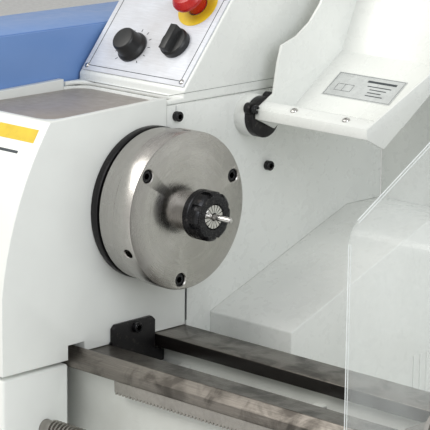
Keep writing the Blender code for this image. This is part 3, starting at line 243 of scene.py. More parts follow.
def raise_surface(tree, principled, height, distance, strength=1.0):
    """A bump from this height on the shader."""
    bump = add_node(tree, "Bump", {"Height": height, "Distance": distance, "Strength": strength})
    tree.links.new(bump.outputs[0], principled.inputs["Normal"])


def wire(tree, principled, **sources):
    """Links these sources to the shader's sockets."""
    for key, source in sources.items():
        tree.links.new(source, principled.inputs[key.replace("_", " ")])


def heights(tree, low, high):
    """0 below one height and 1 above the other, in metres."""
    position = add_node(tree, "SeparateXYZ", {0: add_node(tree, "TexCoord").outputs["Object"]})
    return spread(tree, position.outputs[2], low, high)


def rough_by(tree, value, low, high, rough, below, above):
    """A roughness that wanders round its middle with this pattern."""
    return spread(tree, value, low, high, rough - below, rough + above)


def enamel(name, code, rough, peel, grime=0.25):
    """Two-part machine enamel over primed metal: a soft gloss with faint orange peel, duller and browner low down
    where coolant dries."""
    material, tree, principled = begin(name, {"Roughness": rough, "IOR": 1.5, "Coat Weight": 0.15,
                                              "Coat Roughness": 0.12})
    spot = place(tree)
    base = linear(code)
    patch = spread(tree, noise(tree, spot, 90, 4), 0.35, 0.75)
    worn = darker(base, 0.93)
    body = tint(tree, patch, base, worn)
    low_down = spread(tree, heights(tree, 0.10, 0.0), 0.0, 1.0)
    stain = together(tree, low_down, spread(tree, noise(tree, spot, 22, 5), 0.45, 0.75, 0.0, grime))
    body = tint(tree, stain, body, linear("#9A958A"))
    wire(tree, principled, Base_Color=body,
         Roughness=rough_by(tree, noise(tree, spot, 14, 4), 0.3, 0.75, rough, 0.05, 0.09))
    raise_surface(tree, principled, noise(tree, spot, peel, 2), 0.00006, 0.35)
    return material


def turned_metal(name, code, centre, turn=(0, 0, 0), rough=0.26, streak=0.0, groove=0.5, contrast=0.8):
    """Steel turned in a lathe: fine grooves that run round its axis, which the mapping turns onto X."""
    material, tree, principled = begin(name, {"Metallic": 1.0, "Roughness": rough, "Anisotropic": streak})
    spot = place(tree, centre, turn)
    flat = add_node(tree, "VectorMath", {0: spot, 1: (0, 1, 1)}, operation="MULTIPLY")
    radius = add_node(tree, "VectorMath", {0: flat.outputs[0]}, operation="LENGTH").outputs["Value"]
    along = add_node(tree, "SeparateXYZ", {0: spot}).outputs[0]
    ring = add_node(tree, "CombineXYZ", {0: along, 1: radius}).outputs[0]
    # The real feed marks are 0.1 mm apart; these are coarser, so that they show.
    fine = noise(tree, ring, groove, 2)
    coarse = noise(tree, ring, 7.0, 3)
    smear = noise(tree, spot, 26.0, 4)
    base = linear(code)
    dark = darker(base, 0.72)
    share = spread(tree, together(tree, coarse, fine, "ADD"), 0.75, 1.25, 0.0, contrast)
    body = tint(tree, share, base, dark)
    wire(tree, principled, Base_Color=body,
         Roughness=rough_by(tree, together(tree, fine, smear, "ADD"), 0.7, 1.3, rough, 0.07, 0.10))
    raise_surface(tree, principled, fine, 0.00003, 0.5)
    if streak:
        tangent = add_node(tree, "Tangent", direction_type="RADIAL", axis="X")
        tree.links.new(tangent.outputs[0], principled.inputs["Tangent"])
    return material


def ground_iron(name, code, rough=0.34, oily=0.5):
    """Ground and oiled cast iron: scratches along the bed, with darker wet patches."""
    material, tree, principled = begin(name, {"Metallic": 1.0, "Roughness": rough})
    drawn = place(tree, scale=(0.03, 1, 1))
    spot = place(tree)
    scratch = noise(tree, drawn, 0.9, 4, 0.7)
    oil = spread(tree, noise(tree, spot, 45, 5, 0.6, 0.6), 0.42, 0.62, 0.0, oily)
    base = linear(code)
    dark = darker(base, 0.45)
    body = tint(tree, spread(tree, scratch, 0.3, 0.8), base, darker(base, 0.78))
    body = tint(tree, oil, body, dark)
    wire(tree, principled, Base_Color=body,
         Roughness=rough_by(tree, together(tree, scratch, oil, "SUBTRACT"), 0.0, 0.8, rough, 0.14, 0.16))
    raise_surface(tree, principled, scratch, 0.00005, 0.5)
    return material


def bed_casting(name, code):
    """The bed: enamelled casting below, ground iron rails above, and the rear rail's upright sides tinted near black,
    partly for oil and partly as painted shade.
    """
    material, tree, principled = begin(name, {"IOR": 1.5})
    spot = place(tree)
    drawn = place(tree, scale=(0.03, 1, 1))
    scratch = noise(tree, drawn, 0.9, 4, 0.7)
    oil = noise(tree, spot, 38, 5, 0.6, 0.6)
    base = linear(code)
    rails = tint(tree, spread(tree, scratch, 0.3, 0.75), base, darker(base, 0.62))
    rails = tint(tree, spread(tree, oil, 0.45, 0.62, 0.0, 0.75), rails, linear("#3B3733"))
    paint = tint(tree, spread(tree, noise(tree, spot, 60, 4), 0.35, 0.75), linear("#DFE1DD"), linear("#CFD0CB"))
    height = add_node(tree, "SeparateXYZ", {0: spot})
    metal = spread(tree, height.outputs[2], RAIL_Z - 0.0006, RAIL_Z - 0.0001)
    normal = add_node(tree, "SeparateXYZ", {0: add_node(tree, "TexCoord").outputs["Normal"]})
    # The rear rail's upright faces, picked by their normals, get a near-black tint: partly oil, partly painted shade.
    side = spread(tree, add_node(tree, "Math", {0: normal.outputs[2]}, operation="ABSOLUTE").outputs[0], 0.5, 0.3)
    rear = spread(tree, height.outputs[1], -0.02, 0.0)
    oil_and_painted_shade = together(tree, together(tree, side, rear), metal)
    rails = tint(tree, oil_and_painted_shade, rails, linear("#1B1816"))
    wire(tree, principled, Base_Color=tint(tree, metal, paint, rails),
         Metallic=together(tree, metal, spread(tree, oil_and_painted_shade, 0.0, 1.0, 0.9, 0.2)),
         Roughness=spread(tree, together(tree, scratch, oil, "ADD"), 0.6, 1.4, 0.24, 0.52))
    raise_surface(tree, principled, scratch, 0.00005, 0.5)
    return material


def black_oxide(name, code, rough=0.4):
    """Black oxide on steel: nearly black with a brown cast, and small bright rubs."""
    material, tree, principled = begin(name, {"Metallic": 0.75, "Roughness": rough})
    spot = place(tree)
    base = linear(code)
    rub = spread(tree, noise(tree, spot, 5.0, 5), 0.60, 0.74, 0.0, 0.45)
    wire(tree, principled, Base_Color=tint(tree, rub, base, linear("#6B6460")),
         Roughness=rough_by(tree, noise(tree, spot, 3.0, 4), 0.3, 0.7, rough, 0.1, 0.1))
    raise_surface(tree, principled, noise(tree, spot, 0.8, 2), 0.00004, 0.35)
    return material


def soft_mat(name, code):
    """A smooth polymer mat, handled and slightly marked, with a satin sheen."""
    material, tree, principled = begin(name, {"Roughness": 0.42, "IOR": 1.5, "Coat Weight": 0.2,
                                              "Coat Roughness": 0.3})
    spot = place(tree)
    brushed = place(tree, scale=(0.08, 1, 1))
    base = linear(code)
    mark = spread(tree, noise(tree, brushed, 1.6, 4, 0.7), 0.35, 0.75)
    body = tint(tree, mark, base, darker(base, 0.84))
    body = tint(tree, spread(tree, noise(tree, spot, 40, 4), 0.4, 0.7, 0.0, 0.3), body, linear("#A79F98"))
    wire(tree, principled, Base_Color=body,
         Roughness=spread(tree, noise(tree, spot, 9, 4), 0.3, 0.7, 0.34, 0.54))
    raise_surface(tree, principled, noise(tree, brushed, 0.9, 2), 0.00005, 0.4)
    return material


def moulded(name, code, rough, grain=0.9, **shader):
    """Moulded ABS or nylon: an even colour with a fine spark-eroded grain."""
    material, tree, principled = begin(name, {"IOR": 1.5, "Roughness": rough, **shader})
    spot = place(tree)
    base = linear(code)
    body = tint(tree, spread(tree, noise(tree, spot, 11, 4), 0.3, 0.75), base,
                darker(base, 0.82))
    wire(tree, principled, Base_Color=body,
         Roughness=rough_by(tree, noise(tree, spot, 5, 3), 0.3, 0.7, rough, 0.06, 0.08))
    raise_surface(tree, principled, noise(tree, spot, grain, 2), 0.00004, 0.4)
    return material


def clear_sheet(name):
    """Polycarbonate sheet: clear and glossy, faintly milky where coolant has dried."""
    material, tree, principled = begin(name, {"IOR": 1.585, "Roughness": 0.06, "Coat Weight": 0.6,
                                              "Coat Roughness": 0.03})
    spot = place(tree)
    haze = spread(tree, noise(tree, spot, 55, 5), 0.35, 0.75)
    wire(tree, principled, Base_Color=tint(tree, haze, linear("#EEF2F1"), linear("#DDE3E2")),
         Alpha=spread(tree, haze, 0.0, 1.0, 0.10, 0.22),
         Roughness=spread(tree, noise(tree, spot, 16, 4), 0.3, 0.75, 0.04, 0.14))
    return material


RECIPES = {
    "cast enamel": lambda: enamel("cast_enamel", colours().enamel, 0.34, 3.2),
    "sheet enamel": lambda: enamel("sheet_enamel", colours().enamel, 0.28, 2.2, 0.15),
    "blue enamel": lambda: enamel("blue_enamel", colours().blue, 0.42, 2.4, 0.1),
    "bed": lambda: bed_casting("bed_casting", colours().iron),
    "ground iron": lambda: ground_iron("ground_iron", colours().iron),
    "chuck steel": lambda: turned_metal("chuck_steel", colours().steel, AXIS, rough=0.27, streak=0.8,
                                        contrast=0.3),
    "spindle steel": lambda: turned_metal("spindle_steel", "#A9A6A1", AXIS, rough=0.3),
    "bright steel": lambda: turned_metal("bright_steel", "#D9D7D4", AXIS, rough=0.14, groove=0.35),
    "drawn steel": lambda: turned_metal("drawn_steel", "#A7A39D", middle("leadscrew"), rough=0.32),
    "wheel steel": lambda: turned_metal("wheel_steel", "#B5B2AE", middle("carriage_handwheel"),
                                        (0, 0, math.radians(90)), rough=0.24),
    "black oxide": lambda: black_oxide("black_oxide", colours().oxide),
    "worn oxide": lambda: black_oxide("worn_oxide", "#2D2D2F", 0.28),
    "tray mat": lambda: soft_mat("tray_mat", colours().mat),
    "panel sheet": lambda: soft_mat("panel_sheet", colours().panel),
    "rating plate": lambda: moulded("rating_plate_film", "#C9CCCB", 0.3, 1.2),
    "panel groove": lambda: moulded("panel_groove", "#8E918D", 0.6, 1.2),
    # Near-white and opaque: a painted highlight for the light caught along the clear sheet's edges.
    "painted edge highlight": lambda: moulded("painted_edge_highlight", "#EEF2F2", 0.25, 1.2),
    "plate ink": lambda: moulded("plate_ink", "#3C4246", 0.5, 1.4),
    "yellow film": lambda: moulded("yellow_film", "#E3C22A", 0.35, 1.2),
    "black plastic": lambda: moulded("black_nylon", "#1E1F20", 0.42),
    "red plastic": lambda: moulded("red_abs", "#B8201A", 0.28),
    "white mark": lambda: moulded("white_mark", "#EDEDEA", 0.4),
    "belt rubber": lambda: moulded("belt_rubber", "#1A1918", 0.75, 1.5),
    "brass": lambda: turned_metal("brass", "#B08A45", middle("guard_flange"), rough=0.3),
    "clear sheet": lambda: clear_sheet("clear_polycarbonate"),
    # Near black: painted shade for the inside of a bore.
    "painted hole shade": lambda: moulded("painted_hole_shade", "#0B0B0B", 0.8),
    "floor": lambda: moulded("floor_paint", colours().floor, 0.6, 4.0),
}
MADE = {}


def finish_of(name):
    """The material of this name, made when it is first asked for."""
    if name not in MADE:
        MADE[name] = RECIPES[name]()
    return MADE[name]


# Shapes -----------------------------------------------------------------------------------------


def shade(mesh, angle=35.0):
    """Smooth shading, with edges sharper than this kept."""
    mesh.shade_smooth()
    mesh.set_sharp_from_angle(angle=math.radians(angle))


def close(shape, name, finish, body, angle=35.0):
    """Turns a bmesh into a piece that rides on a body."""
    mesh = bpy.data.meshes.new(name)
    shape.to_mesh(mesh)
    shape.free()
    shade(mesh, angle)
    piece = bpy.data.objects.new(name, mesh)
    bpy.context.scene.collection.objects.link(piece)
    mesh.materials.append(finish_of(finish))
    if body:
        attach(piece, body)
    return piece


def basis(axis):
    """A rotation that takes local +Z onto this axis."""
    return ALONG_Z.rotation_difference(Vector(axis)).to_matrix().to_4x4()


def add_box(shape, low, high, bevel=0.0, matrix=None):
    """Adds a box between two corners, with rounded edges."""
    low, high = Vector(low), Vector(high)
    verts = bmesh.ops.create_cube(shape, size=1.0)["verts"]
    bmesh.ops.scale(shape, vec=high - low, verts=verts)
    bmesh.ops.translate(shape, vec=(low + high) / 2, verts=verts)
    if bevel:
        edges = list({edge for vert in verts for edge in vert.link_edges})
        made = bmesh.ops.bevel(shape, geom=edges, offset=bevel, offset_type="OFFSET", affect="EDGES", segments=2,
                               profile=0.5, material=-1, clamp_overlap=True)
        verts = [vert for vert in {vert for face in made["faces"] for vert in face.verts} if vert.is_valid]
        verts = list({vert for start in verts for face in start.link_faces for vert in face.verts})
    if matrix is not None:
        bmesh.ops.transform(shape, matrix=matrix, verts=verts)
    return verts


def add_turned(shape, profile, start, axis, steps=32, closed=False):
    """Adds a turned shape. profile holds (radius, distance along the axis), drawn from back to front."""
    points = [shape.verts.new((radius, 0, distance)) for radius, distance in profile]
    ring = list(zip(points, points[1:] + ([points[0]] if closed else [])))
    if not closed:
        ring = list(zip(points, points[1:]))
    edges = [shape.edges.new(pair) for pair in ring]
    before = set(shape.faces)
    bmesh.ops.spin(shape, geom=points + edges, cent=(0, 0, 0), axis=(0, 0, 1), dvec=(0, 0, 0),
                   angle=2 * math.pi, steps=steps, use_merge=True)
    faces = [face for face in shape.faces if face not in before]
    verts = list({vert for face in faces for vert in face.verts})
    bmesh.ops.remove_doubles(shape, verts=verts, dist=0.0000005)
    faces = [face for face in shape.faces if face not in before]
    bmesh.ops.recalc_face_normals(shape, faces=faces)
    verts = list({vert for face in faces for vert in face.verts})
    bmesh.ops.transform(shape, matrix=Matrix.Translation(Vector(start)) @ basis(axis), verts=verts)
    return verts


def turned(name, profile, start, axis, finish, body, steps=48, closed=False, angle=35.0):
    shape = bmesh.new()
    add_turned(shape, profile, start, axis, steps, closed)
    return close(shape, name, finish, body, angle)


def add_rod(shape, start, end, radius, steps=20, chamfer=0.0005):
    """Adds a round bar with chamfered ends."""
    start, end = Vector(start), Vector(end)
    length = (end - start).length
    chamfer = min(chamfer, radius / 3, length / 4)
    profile = [(0, 0), (radius - chamfer, 0), (radius, chamfer), (radius, length - chamfer),
               (radius - chamfer, length), (0, length)]
    return add_turned(shape, profile, start, end - start, steps)


def add_socket_screw(shape, at, axis, radius, height, sides=24):
    """Adds a cap screw's head with its hexagon socket, standing on a point."""
    lip = radius * 0.1
    depth = height * 0.55
    key = radius * 0.55
    profile = [(radius, 0), (radius, height - lip), (radius - lip, height), (key * 1.15, height)]
    matrix = Matrix.Translation(Vector(at)) @ basis(axis)
    outer = [shape.verts.new((r, 0, z)) for r, z in profile]
    edges = [shape.edges.new(pair) for pair in zip(outer, outer[1:])]
    before = set(shape.faces)
    bmesh.ops.spin(shape, geom=outer + edges, cent=(0, 0, 0), axis=(0, 0, 1), dvec=(0, 0, 0), angle=2 * math.pi,
                   steps=sides, use_merge=True)
    rim = [edge for edge in shape.edges if edge.is_boundary and all(abs(v.co.z - height) < 1e-7 for v in edge.verts)
           and all(v.co.xy.length < radius for v in edge.verts)]
    hexagon = bmesh.ops.create_circle(shape, cap_ends=False, segments=6, radius=key)["verts"]
    bmesh.ops.translate(shape, vec=(0, 0, height), verts=hexagon)
    hex_edges = list({edge for vert in hexagon for edge in vert.link_edges})
    bmesh.ops.bridge_loops(shape, edges=rim + hex_edges)
    walls = bmesh.ops.extrude_edge_only(shape, edges=hex_edges)["geom"]
    lower = [item for item in walls if isinstance(item, bmesh.types.BMVert)]
    bmesh.ops.translate(shape, vec=(0, 0, -depth), verts=lower)
    floor_edges = [item for item in walls if isinstance(item, bmesh.types.BMEdge) and
                   all(abs(v.co.z - height + depth) < 1e-7 for v in item.verts)]
    bmesh.ops.edgenet_fill(shape, edges=floor_edges)
    foot = [edge for edge in shape.edges if edge.is_boundary and all(abs(v.co.z) < 1e-7 for v in edge.verts)
            and not any(face in before for face in edge.link_faces)]
    bmesh.ops.edgenet_fill(shape, edges=foot)
    faces = [face for face in shape.faces if face not in before]
    bmesh.ops.recalc_face_normals(shape, faces=faces)
    verts = list({vert for face in faces for vert in face.verts})
    bmesh.ops.transform(shape, matrix=matrix, verts=verts)
    return verts


def add_button_screw(shape, at, axis, radius):
    """Adds a domed screw head."""
    rise = radius * 0.55
    profile = [(radius, 0), (radius * 0.96, rise * 0.4), (radius * 0.75, rise * 0.8), (radius * 0.4, rise),
               (radius * 0.3, rise), (radius * 0.26, rise * 0.45), (0, rise * 0.45)]
    return add_turned(shape, [(0, 0), *profile], at, axis, 18)


def carved(name, piece, cutters, angle=35.0):
    """Cuts shapes out of a piece for good."""
    for cutter in cutters:
        change = piece.modifiers.new(cutter.name, "BOOLEAN")
        change.operation = "DIFFERENCE"
        change.solver = "EXACT"
        change.object = cutter
    bpy.context.view_layer.update()
    graph = bpy.context.evaluated_depsgraph_get()
    mesh = bpy.data.meshes.new_from_object(piece.evaluated_get(graph))
    mesh.name = name
    piece.modifiers.clear()
    piece.data = mesh
    shade(mesh, angle)
    for cutter in cutters:
        bpy.data.objects.remove(cutter)
    return piece


def cutter(name, build):
    """A helper shape to cut with, which is removed after its cut."""
    shape = bmesh.new()
    build(shape)
    mesh = bpy.data.meshes.new(name)
    shape.to_mesh(mesh)
    shape.free()
    item = bpy.data.objects.new(name, mesh)
    bpy.context.scene.collection.objects.link(item)
    return item


def softened(node, finish, radius, segments=2, steepest=28.0, name=None):
    """A copy of a CAD node with its edges rounded, which stands for the node."""
    source = frame["nodes"][node]
    shape = bmesh.new()
    shape.from_mesh(source.data)
    bmesh.ops.remove_doubles(shape, verts=shape.verts, dist=0.000002)
    bmesh.ops.dissolve_limit(shape, angle_limit=math.radians(0.6), use_dissolve_boundaries=False, verts=shape.verts,
                             edges=shape.edges)
    if radius:
        sharp = [edge for edge in shape.edges if len(edge.link_faces) == 2
                 and edge.calc_face_angle(0.0) > math.radians(steepest)]
        bmesh.ops.bevel(shape, geom=sharp, offset=radius, offset_type="OFFSET", affect="EDGES", segments=segments,
                        profile=0.5, material=-1, clamp_overlap=True)
    piece = close(shape, name or node + "_skin", finish, source["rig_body"], 40.0)
    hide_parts(node)
    return piece


# Pieces -----------------------------------------------------------------------------------------

# The solids kept in shape, by their finish and the radius of their edges in metres.
KEPT_NODES = (
    ("sheet enamel", 0.0008, "chip_tray electrical_cabinet"),
    ("bed", 0.001, "bed"),
    ("cast enamel", 0.0022, "headstock"),
    ("cast enamel", 0.0, "feed_gearbox leadscrew_bracket apron"),
    ("sheet enamel", 0.0016, "control_box"),
    ("panel sheet", 0.0003, "control_panel"),
    ("sheet enamel", 0.0018, "motor_housing"),
    ("black oxide", 0.002, "motor"),
    ("blue enamel", 0.0006, "end_plate"),
    ("blue enamel", 0.0012, "end_cover"),
    ("sheet enamel", 0.0006, "rear_splash_guard"),
    ("tray mat", 0.0008, "tool_tray_mat"),
    ("spindle steel", 0.0004, "spindle"),
    ("spindle steel", 0.0005, "front_bearing rear_bearing"),
    ("black oxide", 0.0006, "front_bearing_cover guard_flange"),
    ("spindle steel", 0.0003, "spindle_pulley"),
    ("drawn steel", 0.0003, "motor_pulley cutting_tool"),
    ("drawn steel", 0.0002, "idler_gear leadscrew_gear"),
    ("belt rubber", 0.0, "drive_belt"),
    ("black oxide", 0.0007, "bed_end_bracket"),
    ("sheet enamel", 0.0007, "chuck_guard"),
    ("ground iron", 0.0015, "saddle"),
    ("ground iron", 0.0, "cross_slide topslide"),
    ("ground iron", 0.0008, "topslide_base"),
    ("black oxide", 0.0008, "tool_post"),
    ("wheel steel", 0.0006, "tool_post_lever quill_lock_lever clamp_lever carriage_handwheel"),
    ("clear sheet", 0.0004, "chip_shield"),
    ("cast enamel", 0.0018, "tailstock_body"),
    ("spindle steel", 0.0006, "tailstock_quill"),
    ("bright steel", 0.0003, "tailstock_centre"),
    ("chuck steel", 0.0005, "tailstock_handwheel"),
    ("ground iron", 0.0006, "tailstock_clamp"),
    ("wheel steel", 0.0004, "cross_handwheel"),
    ("chuck steel", 0.0003, "topslide_handle"),
    ("black plastic", 0.0006, "half_nut_lever speed_knob"),
    ("black plastic", 0.0005, "direction_switch"),
    ("red plastic", 0.0006, "emergency_stop"),
    ("black plastic", 0.0004, "cable_gland"),
)


def make_castings():
    for finish, radius, nodes in KEPT_NODES:
        for node in nodes.split():
            softened(node, finish, radius)


BACKPLATE_STEP = 0.0025  # metres by which the plate's rim lies inside the chuck's


def make_backplate():
    low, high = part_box("chuck_backplate")
    length = high.x - low.x
    radius = (high.y - low.y) / 2 - BACKPLATE_STEP
    profile = [(0.0302, length), (0.0302, 0.0133), (0.0453, 0.0133), (0.0453, 0.0), (radius - 0.0012, 0.0),
               (radius, 0.0012), (radius, length - 0.0020), (radius - 0.0006, length - 0.0014),
               (radius - 0.0006, length)]
    piece = turned("backplate_turned", profile, (low.x, 0, AXIS_Z), ALONG_X, "chuck steel", "spindle_group",
                   160, True, 30)
    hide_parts("chuck_backplate")


def make_chuck():
    neck = (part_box("chuck_body")[1].x)
    profile = [(0.0172, neck - CHUCK_BACK), (0.0172, 0), (CHUCK_RADIUS - 0.0006, 0), (CHUCK_RADIUS, 0.0006),
               (CHUCK_RADIUS, -CHUCK_BACK - 0.0014), (CHUCK_RADIUS - 0.0004, -CHUCK_BACK - 0.0004),
               (CHUCK_RADIUS - 0.0014, -CHUCK_BACK), (0.0200, -CHUCK_BACK), (0.0200, neck - CHUCK_BACK)]
    piece = turned("chuck_body_turned", profile, (CHUCK_BACK, 0, AXIS_Z), ALONG_X, "chuck steel", "spindle_group",
                   160, True, 30)
    tools = []
    for index in range(3):
        low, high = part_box(f"chuck_screw_{index + 1}")
        centre = (low + high) / 2
        deep = low.x - 0.0003
        tools.append(cutter(f"counterbore_{index}", lambda shape, c=centre, d=deep: add_turned(
            shape, [(0, 0), (0.0067, 0), (0.0067, -d - 0.0008), (0.0080, -d + 0.0005), (0, -d + 0.0005)],
            (d, c.y, c.z), ALONG_X, 32)))
    for angle in (205.0, 85.0, 325.0):
        out = Vector((0, math.cos(math.radians(angle)), math.sin(math.radians(angle))))
        start = AXIS + out * (CHUCK_RADIUS - 0.016) + Vector((CHUCK_BACK / 2 + 0.002, 0, 0))
        tools.append(cutter(f"key_hole_{angle:.0f}", lambda shape, s=start, o=out: add_turned(
            shape, [(0, 0), (0.0050, 0), (0.0050, 0.0152), (0.0060, 0.0162), (0.0060, 0.02), (0, 0.02)], s, o, 32)))
    carved("chuck_body_turned", piece, tools, 30)
    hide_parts("chuck_body")
    for index in range(3):
        node = f"chuck_screw_{index + 1}"
        low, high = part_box(node)
        shape = bmesh.new()
        add_socket_screw(shape, (low.x, (low.y + high.y) / 2, (low.z + high.z) / 2), ALONG_X, 0.0062, 0.0079)
        screw = close(shape, f"face_screw_{index + 1}", "worn oxide", "spindle_group", 30)
        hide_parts(node)


def make_nut():
    length = NUT_HIGH.x - NUT_LOW.x
    r = NUT_RADIUS
    profile = [(0.0130, length - 0.0003), (0.0168, length - 0.0060), (0.0168, 0.0066), (0.0203, 0.0066), (0.0203, 0),
               (r - 0.0008, 0), (r, 0.0008), (r, 0.0068), (r - 0.0007, 0.0074), (r - 0.0007, 0.0086), (r, 0.0092),
               (r, length - 0.0030), (r - 0.0022, length - 0.0006), (r - 0.0034, length), (0.0146, length)]
    piece = turned("collet_nut_turned", profile, (NUT_LOW.x, 0, AXIS_Z), ALONG_X, "worn oxide", "nut",
                   128, True, 30)
    tools = []
    for index in range(sizes().notches):
        angle = 360.0 * (index + 0.35) / sizes().notches
        matrix = Matrix.Translation(AXIS) @ Matrix.Rotation(math.radians(angle), 4, "X")
        tools.append(cutter(f"notch_{index}", lambda shape, m=matrix: add_box(
            shape, (NUT_LOW.x + 0.0105, -0.0029, r - 0.0038), (NUT_HIGH.x + 0.004, 0.0029, r + 0.004), 0.0006, m)))
    carved("collet_nut_turned", piece, tools, 30)
    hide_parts("collet_nut")


def make_collet():
    low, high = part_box("collet")
    count = sizes().slits
    face = high.x + 0.0002
    shape = bmesh.new()
    gap = math.radians(4.6)
    for index in range(count):
        profile = [(ROD_RADIUS + 0.0005, face - 0.0016), (ROD_RADIUS + 0.0011, face), (0.0117, face),
                   (0.0126, face - 0.0009), (0.0146, face - 0.0050), (0.0146, face - 0.0180),
                   (ROD_RADIUS + 0.0005, face - 0.0180)]
        points = [shape.verts.new((r, 0, x)) for r, x in profile]
        outline = shape.faces.new(points)
        start = 2 * math.pi * index / count
        bmesh.ops.rotate(shape, verts=points, cent=(0, 0, 0), matrix=Matrix.Rotation(start, 3, "Z"))
        before = set(shape.faces)
        bmesh.ops.spin(shape, geom=[outline, *outline.edges, *points], cent=(0, 0, 0), axis=(0, 0, 1),
                       dvec=(0, 0, 0), angle=2 * math.pi / count - gap, steps=4)
        faces = [outline] + [item for item in shape.faces if item not in before]
        bmesh.ops.recalc_face_normals(shape, faces=faces)
    bmesh.ops.transform(shape, matrix=Matrix.Translation(AXIS) @ basis(ALONG_X), verts=shape.verts)
    piece = close(shape, "collet_jaws", "bright steel", "spindle_group", 30)
    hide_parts("collet")
    # A near-black disc inside the jaws: painted shade for the dark depth of the collet's bore, seen through the slits.
    turned("collet_bore_shade", [(0, 0), (0.0150, 0), (0.0160, 0.006), (0.0160, 0.0105), (0, 0.0105)],
           (low.x + 0.006, 0, AXIS_Z), ALONG_X, "painted hole shade", "spindle_group")


def make_rod():
    r = ROD_RADIUS
    length = ROD_HIGH.x - NUT_LOW.x
    profile = [(0, 0), (r, 0), (r, length - 0.0012), (r - 0.0004, length - 0.0004), (r - 0.0011, length), (0, length)]
    piece = turned("gauge_rod_turned", profile, (NUT_LOW.x, 0, AXIS_Z), ALONG_X, "bright steel", "spindle_group",
                   48)
    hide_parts("gauge_rod")


def lay_film(shape, skin, corners, steps, lift=0.00018):
    """Adds a thin film over a piece's front, draped on it by casting rays along +Y."""
    (x0, z0), (x1, z1) = corners
    rows = []
    for up in (z0, z1):
        row = []
        for step in range(steps + 1):
            x = x0 + (x1 - x0) * step / steps
            hit, spot, normal = skin.ray_cast((x, HEAD_LOW.y - 0.05, up), ALONG_Y)[:3]
            if hit:
                row.append(shape.verts.new(spot + normal * lift))
        rows.append(row)
    if len(rows[0]) == len(rows[1]):
        for first, second, third, fourth in zip(rows[0], rows[0][1:], rows[1][1:], rows[1]):
            shape.faces.new((first, second, third, fourth))


def make_head_marks():
    skin = bpy.data.objects["headstock_skin"]
    band = bmesh.new()
    lay_film(band, skin, ((-0.125, AXIS_Z + 0.078), (-0.068, AXIS_Z + 0.090)), 12)
    close(band, "head_film", "yellow film", "machine")
    rules = bmesh.new()
    lay_film(rules, skin, ((-0.112, AXIS_Z + 0.0665), (-0.084, AXIS_Z + 0.0690)), 8)
    for row in range(5):
        up = AXIS_Z + 0.046 - 0.0085 * row
        lay_film(rules, skin, ((-0.118, up), (-0.101 + 0.003 * (row % 2), up + 0.0022)), 6)
    close(rules, "head_rules", "plate ink", "machine")


def add_screws(name, spots, axis, radius, height, finish, body):
    """A piece of like cap screws, standing on these points."""
    shape = bmesh.new()
    for spot in spots:
        add_socket_screw(shape, spot, axis, radius, height)
    return close(shape, name, finish, body, 30)


def make_wall_screws():
    face = WALL_X + 0.0001
    add_screws("wall_screws", [(face, 0.1777, AXIS_Z + 0.012), (face, 0.0406, AXIS_Z + 0.0826)], ALONG_X,
               0.0052, 0.0062, "worn oxide", "machine")
    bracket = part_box("bed_end_bracket")[1].x + 0.0001
    add_screws("bracket_screw", [(bracket, -0.0207, AXIS_Z - 0.1263)], ALONG_X, 0.0052, 0.0055, "worn oxide",
               "machine")
    low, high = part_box("control_box")
    slot = bmesh.new()
    add_box(slot, (face - 0.0002, 0.0400, AXIS_Z + 0.0885), (face + 0.0004, 0.0415, AXIS_Z + 0.0935), 0.0002)
    close(slot, "wall_slot", "rating plate", "machine")
    seam = bmesh.new()
    add_box(seam, (high.x - 0.0002, low.y + 0.002, low.z + 0.0095), (high.x + 0.00015, high.y, low.z + 0.0101), 0.0)
    close(seam, "box_seam", "panel groove", "machine")
    joint = bmesh.new()
    add_box(joint, (WALL_X - 0.0002, 0.0568, 0.195), (WALL_X + 0.0002, 0.0582, 0.250), 0.0)
    close(joint, "wall_joint", "plate ink", "machine")


def panel_spot(x, up, lift):
    """A point over the control box's slope, this far up it and this high above it."""
    return Vector((x, 0, 0)) + PANEL_FOOT + PANEL_UP * up + PANEL_OUT * lift


def make_panel():
    low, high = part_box("control_panel")
    turn = Matrix.Rotation(PANEL_SLOPE, 4, "X")
    length = 0.113
    skin = 0.0019
    shape = bmesh.new()

    def bar(x0, x1, up0, up1, thick=0.00012):
        matrix = Matrix.Translation(panel_spot(0, 0, skin)) @ turn
        add_box(shape, (x0, up0, 0), (x1, up1, thick), 0.0, matrix)
    left, right = low.x + 0.0062, high.x - 0.0062
    for up in (0.0095, length - 0.0020):
        bar(left, right, up, up + 0.0007)
    for x in (left, right - 0.0007):
        bar(x, x + 0.0007, 0.0095, length - 0.0020)
    close(shape, "panel_border", "plate ink", "machine")
    shape = bmesh.new()
    knob = middle("speed_knob")
    for tick in range(11):
        angle = math.radians(-135 + 27 * tick)
        matrix = (Matrix.Translation(panel_spot(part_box("control_box")[0].x + 0.059, 0.038, skin)) @ turn
                  @ Matrix.Rotation(-angle, 4, "Z"))
        add_box(shape, (-0.0004, 0.0200, 0), (0.0004, 0.0232, 0.00012), 0.0, matrix)
    close(shape, "knob_ticks", "plate ink", "machine")
    screws = bmesh.new()
    for x in (low.x + 0.0050, high.x - 0.0050):
        for up in (0.0090, length - 0.0010):
            add_button_screw(screws, panel_spot(x, up, skin), PANEL_OUT, 0.0030)
    close(screws, "panel_screws", "bright steel", "machine")
    ring = panel_spot(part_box("control_box")[1].x - 0.040, 0.098, skin)
    turned("stop_ring", [(0.0117, 0), (0.0245, 0), (0.0245, 0.0004), (0.0117, 0.0004)], ring, PANEL_OUT,
           "yellow film", "machine", 48, True)
    shape = bmesh.new()
    matrix = Matrix.Translation(knob + PANEL_OUT * 0.0102) @ turn
    add_box(shape, (-0.0007, 0.0, 0.0), (0.0007, 0.0105, 0.0003), 0.0, matrix)
    close(shape, "knob_pointer", "white mark", "knob")


def guard_point(x, first, second, share, lift):
    """A point over the guard's sheet, between two points of its section."""
    start, end = Vector((0, *first)), Vector((0, *second))
    along = (end - start).normalized()
    out = Vector((0, -along.z, along.y))
    return Vector((x, 0, 0)) + HINGE + start + (end - start) * share + out * lift, along, out


# Two points of the guard's section across its hood, as y and z from the hinge.
HOOD = ((0.0390, 0.0075), (0.1140, 0.0580))


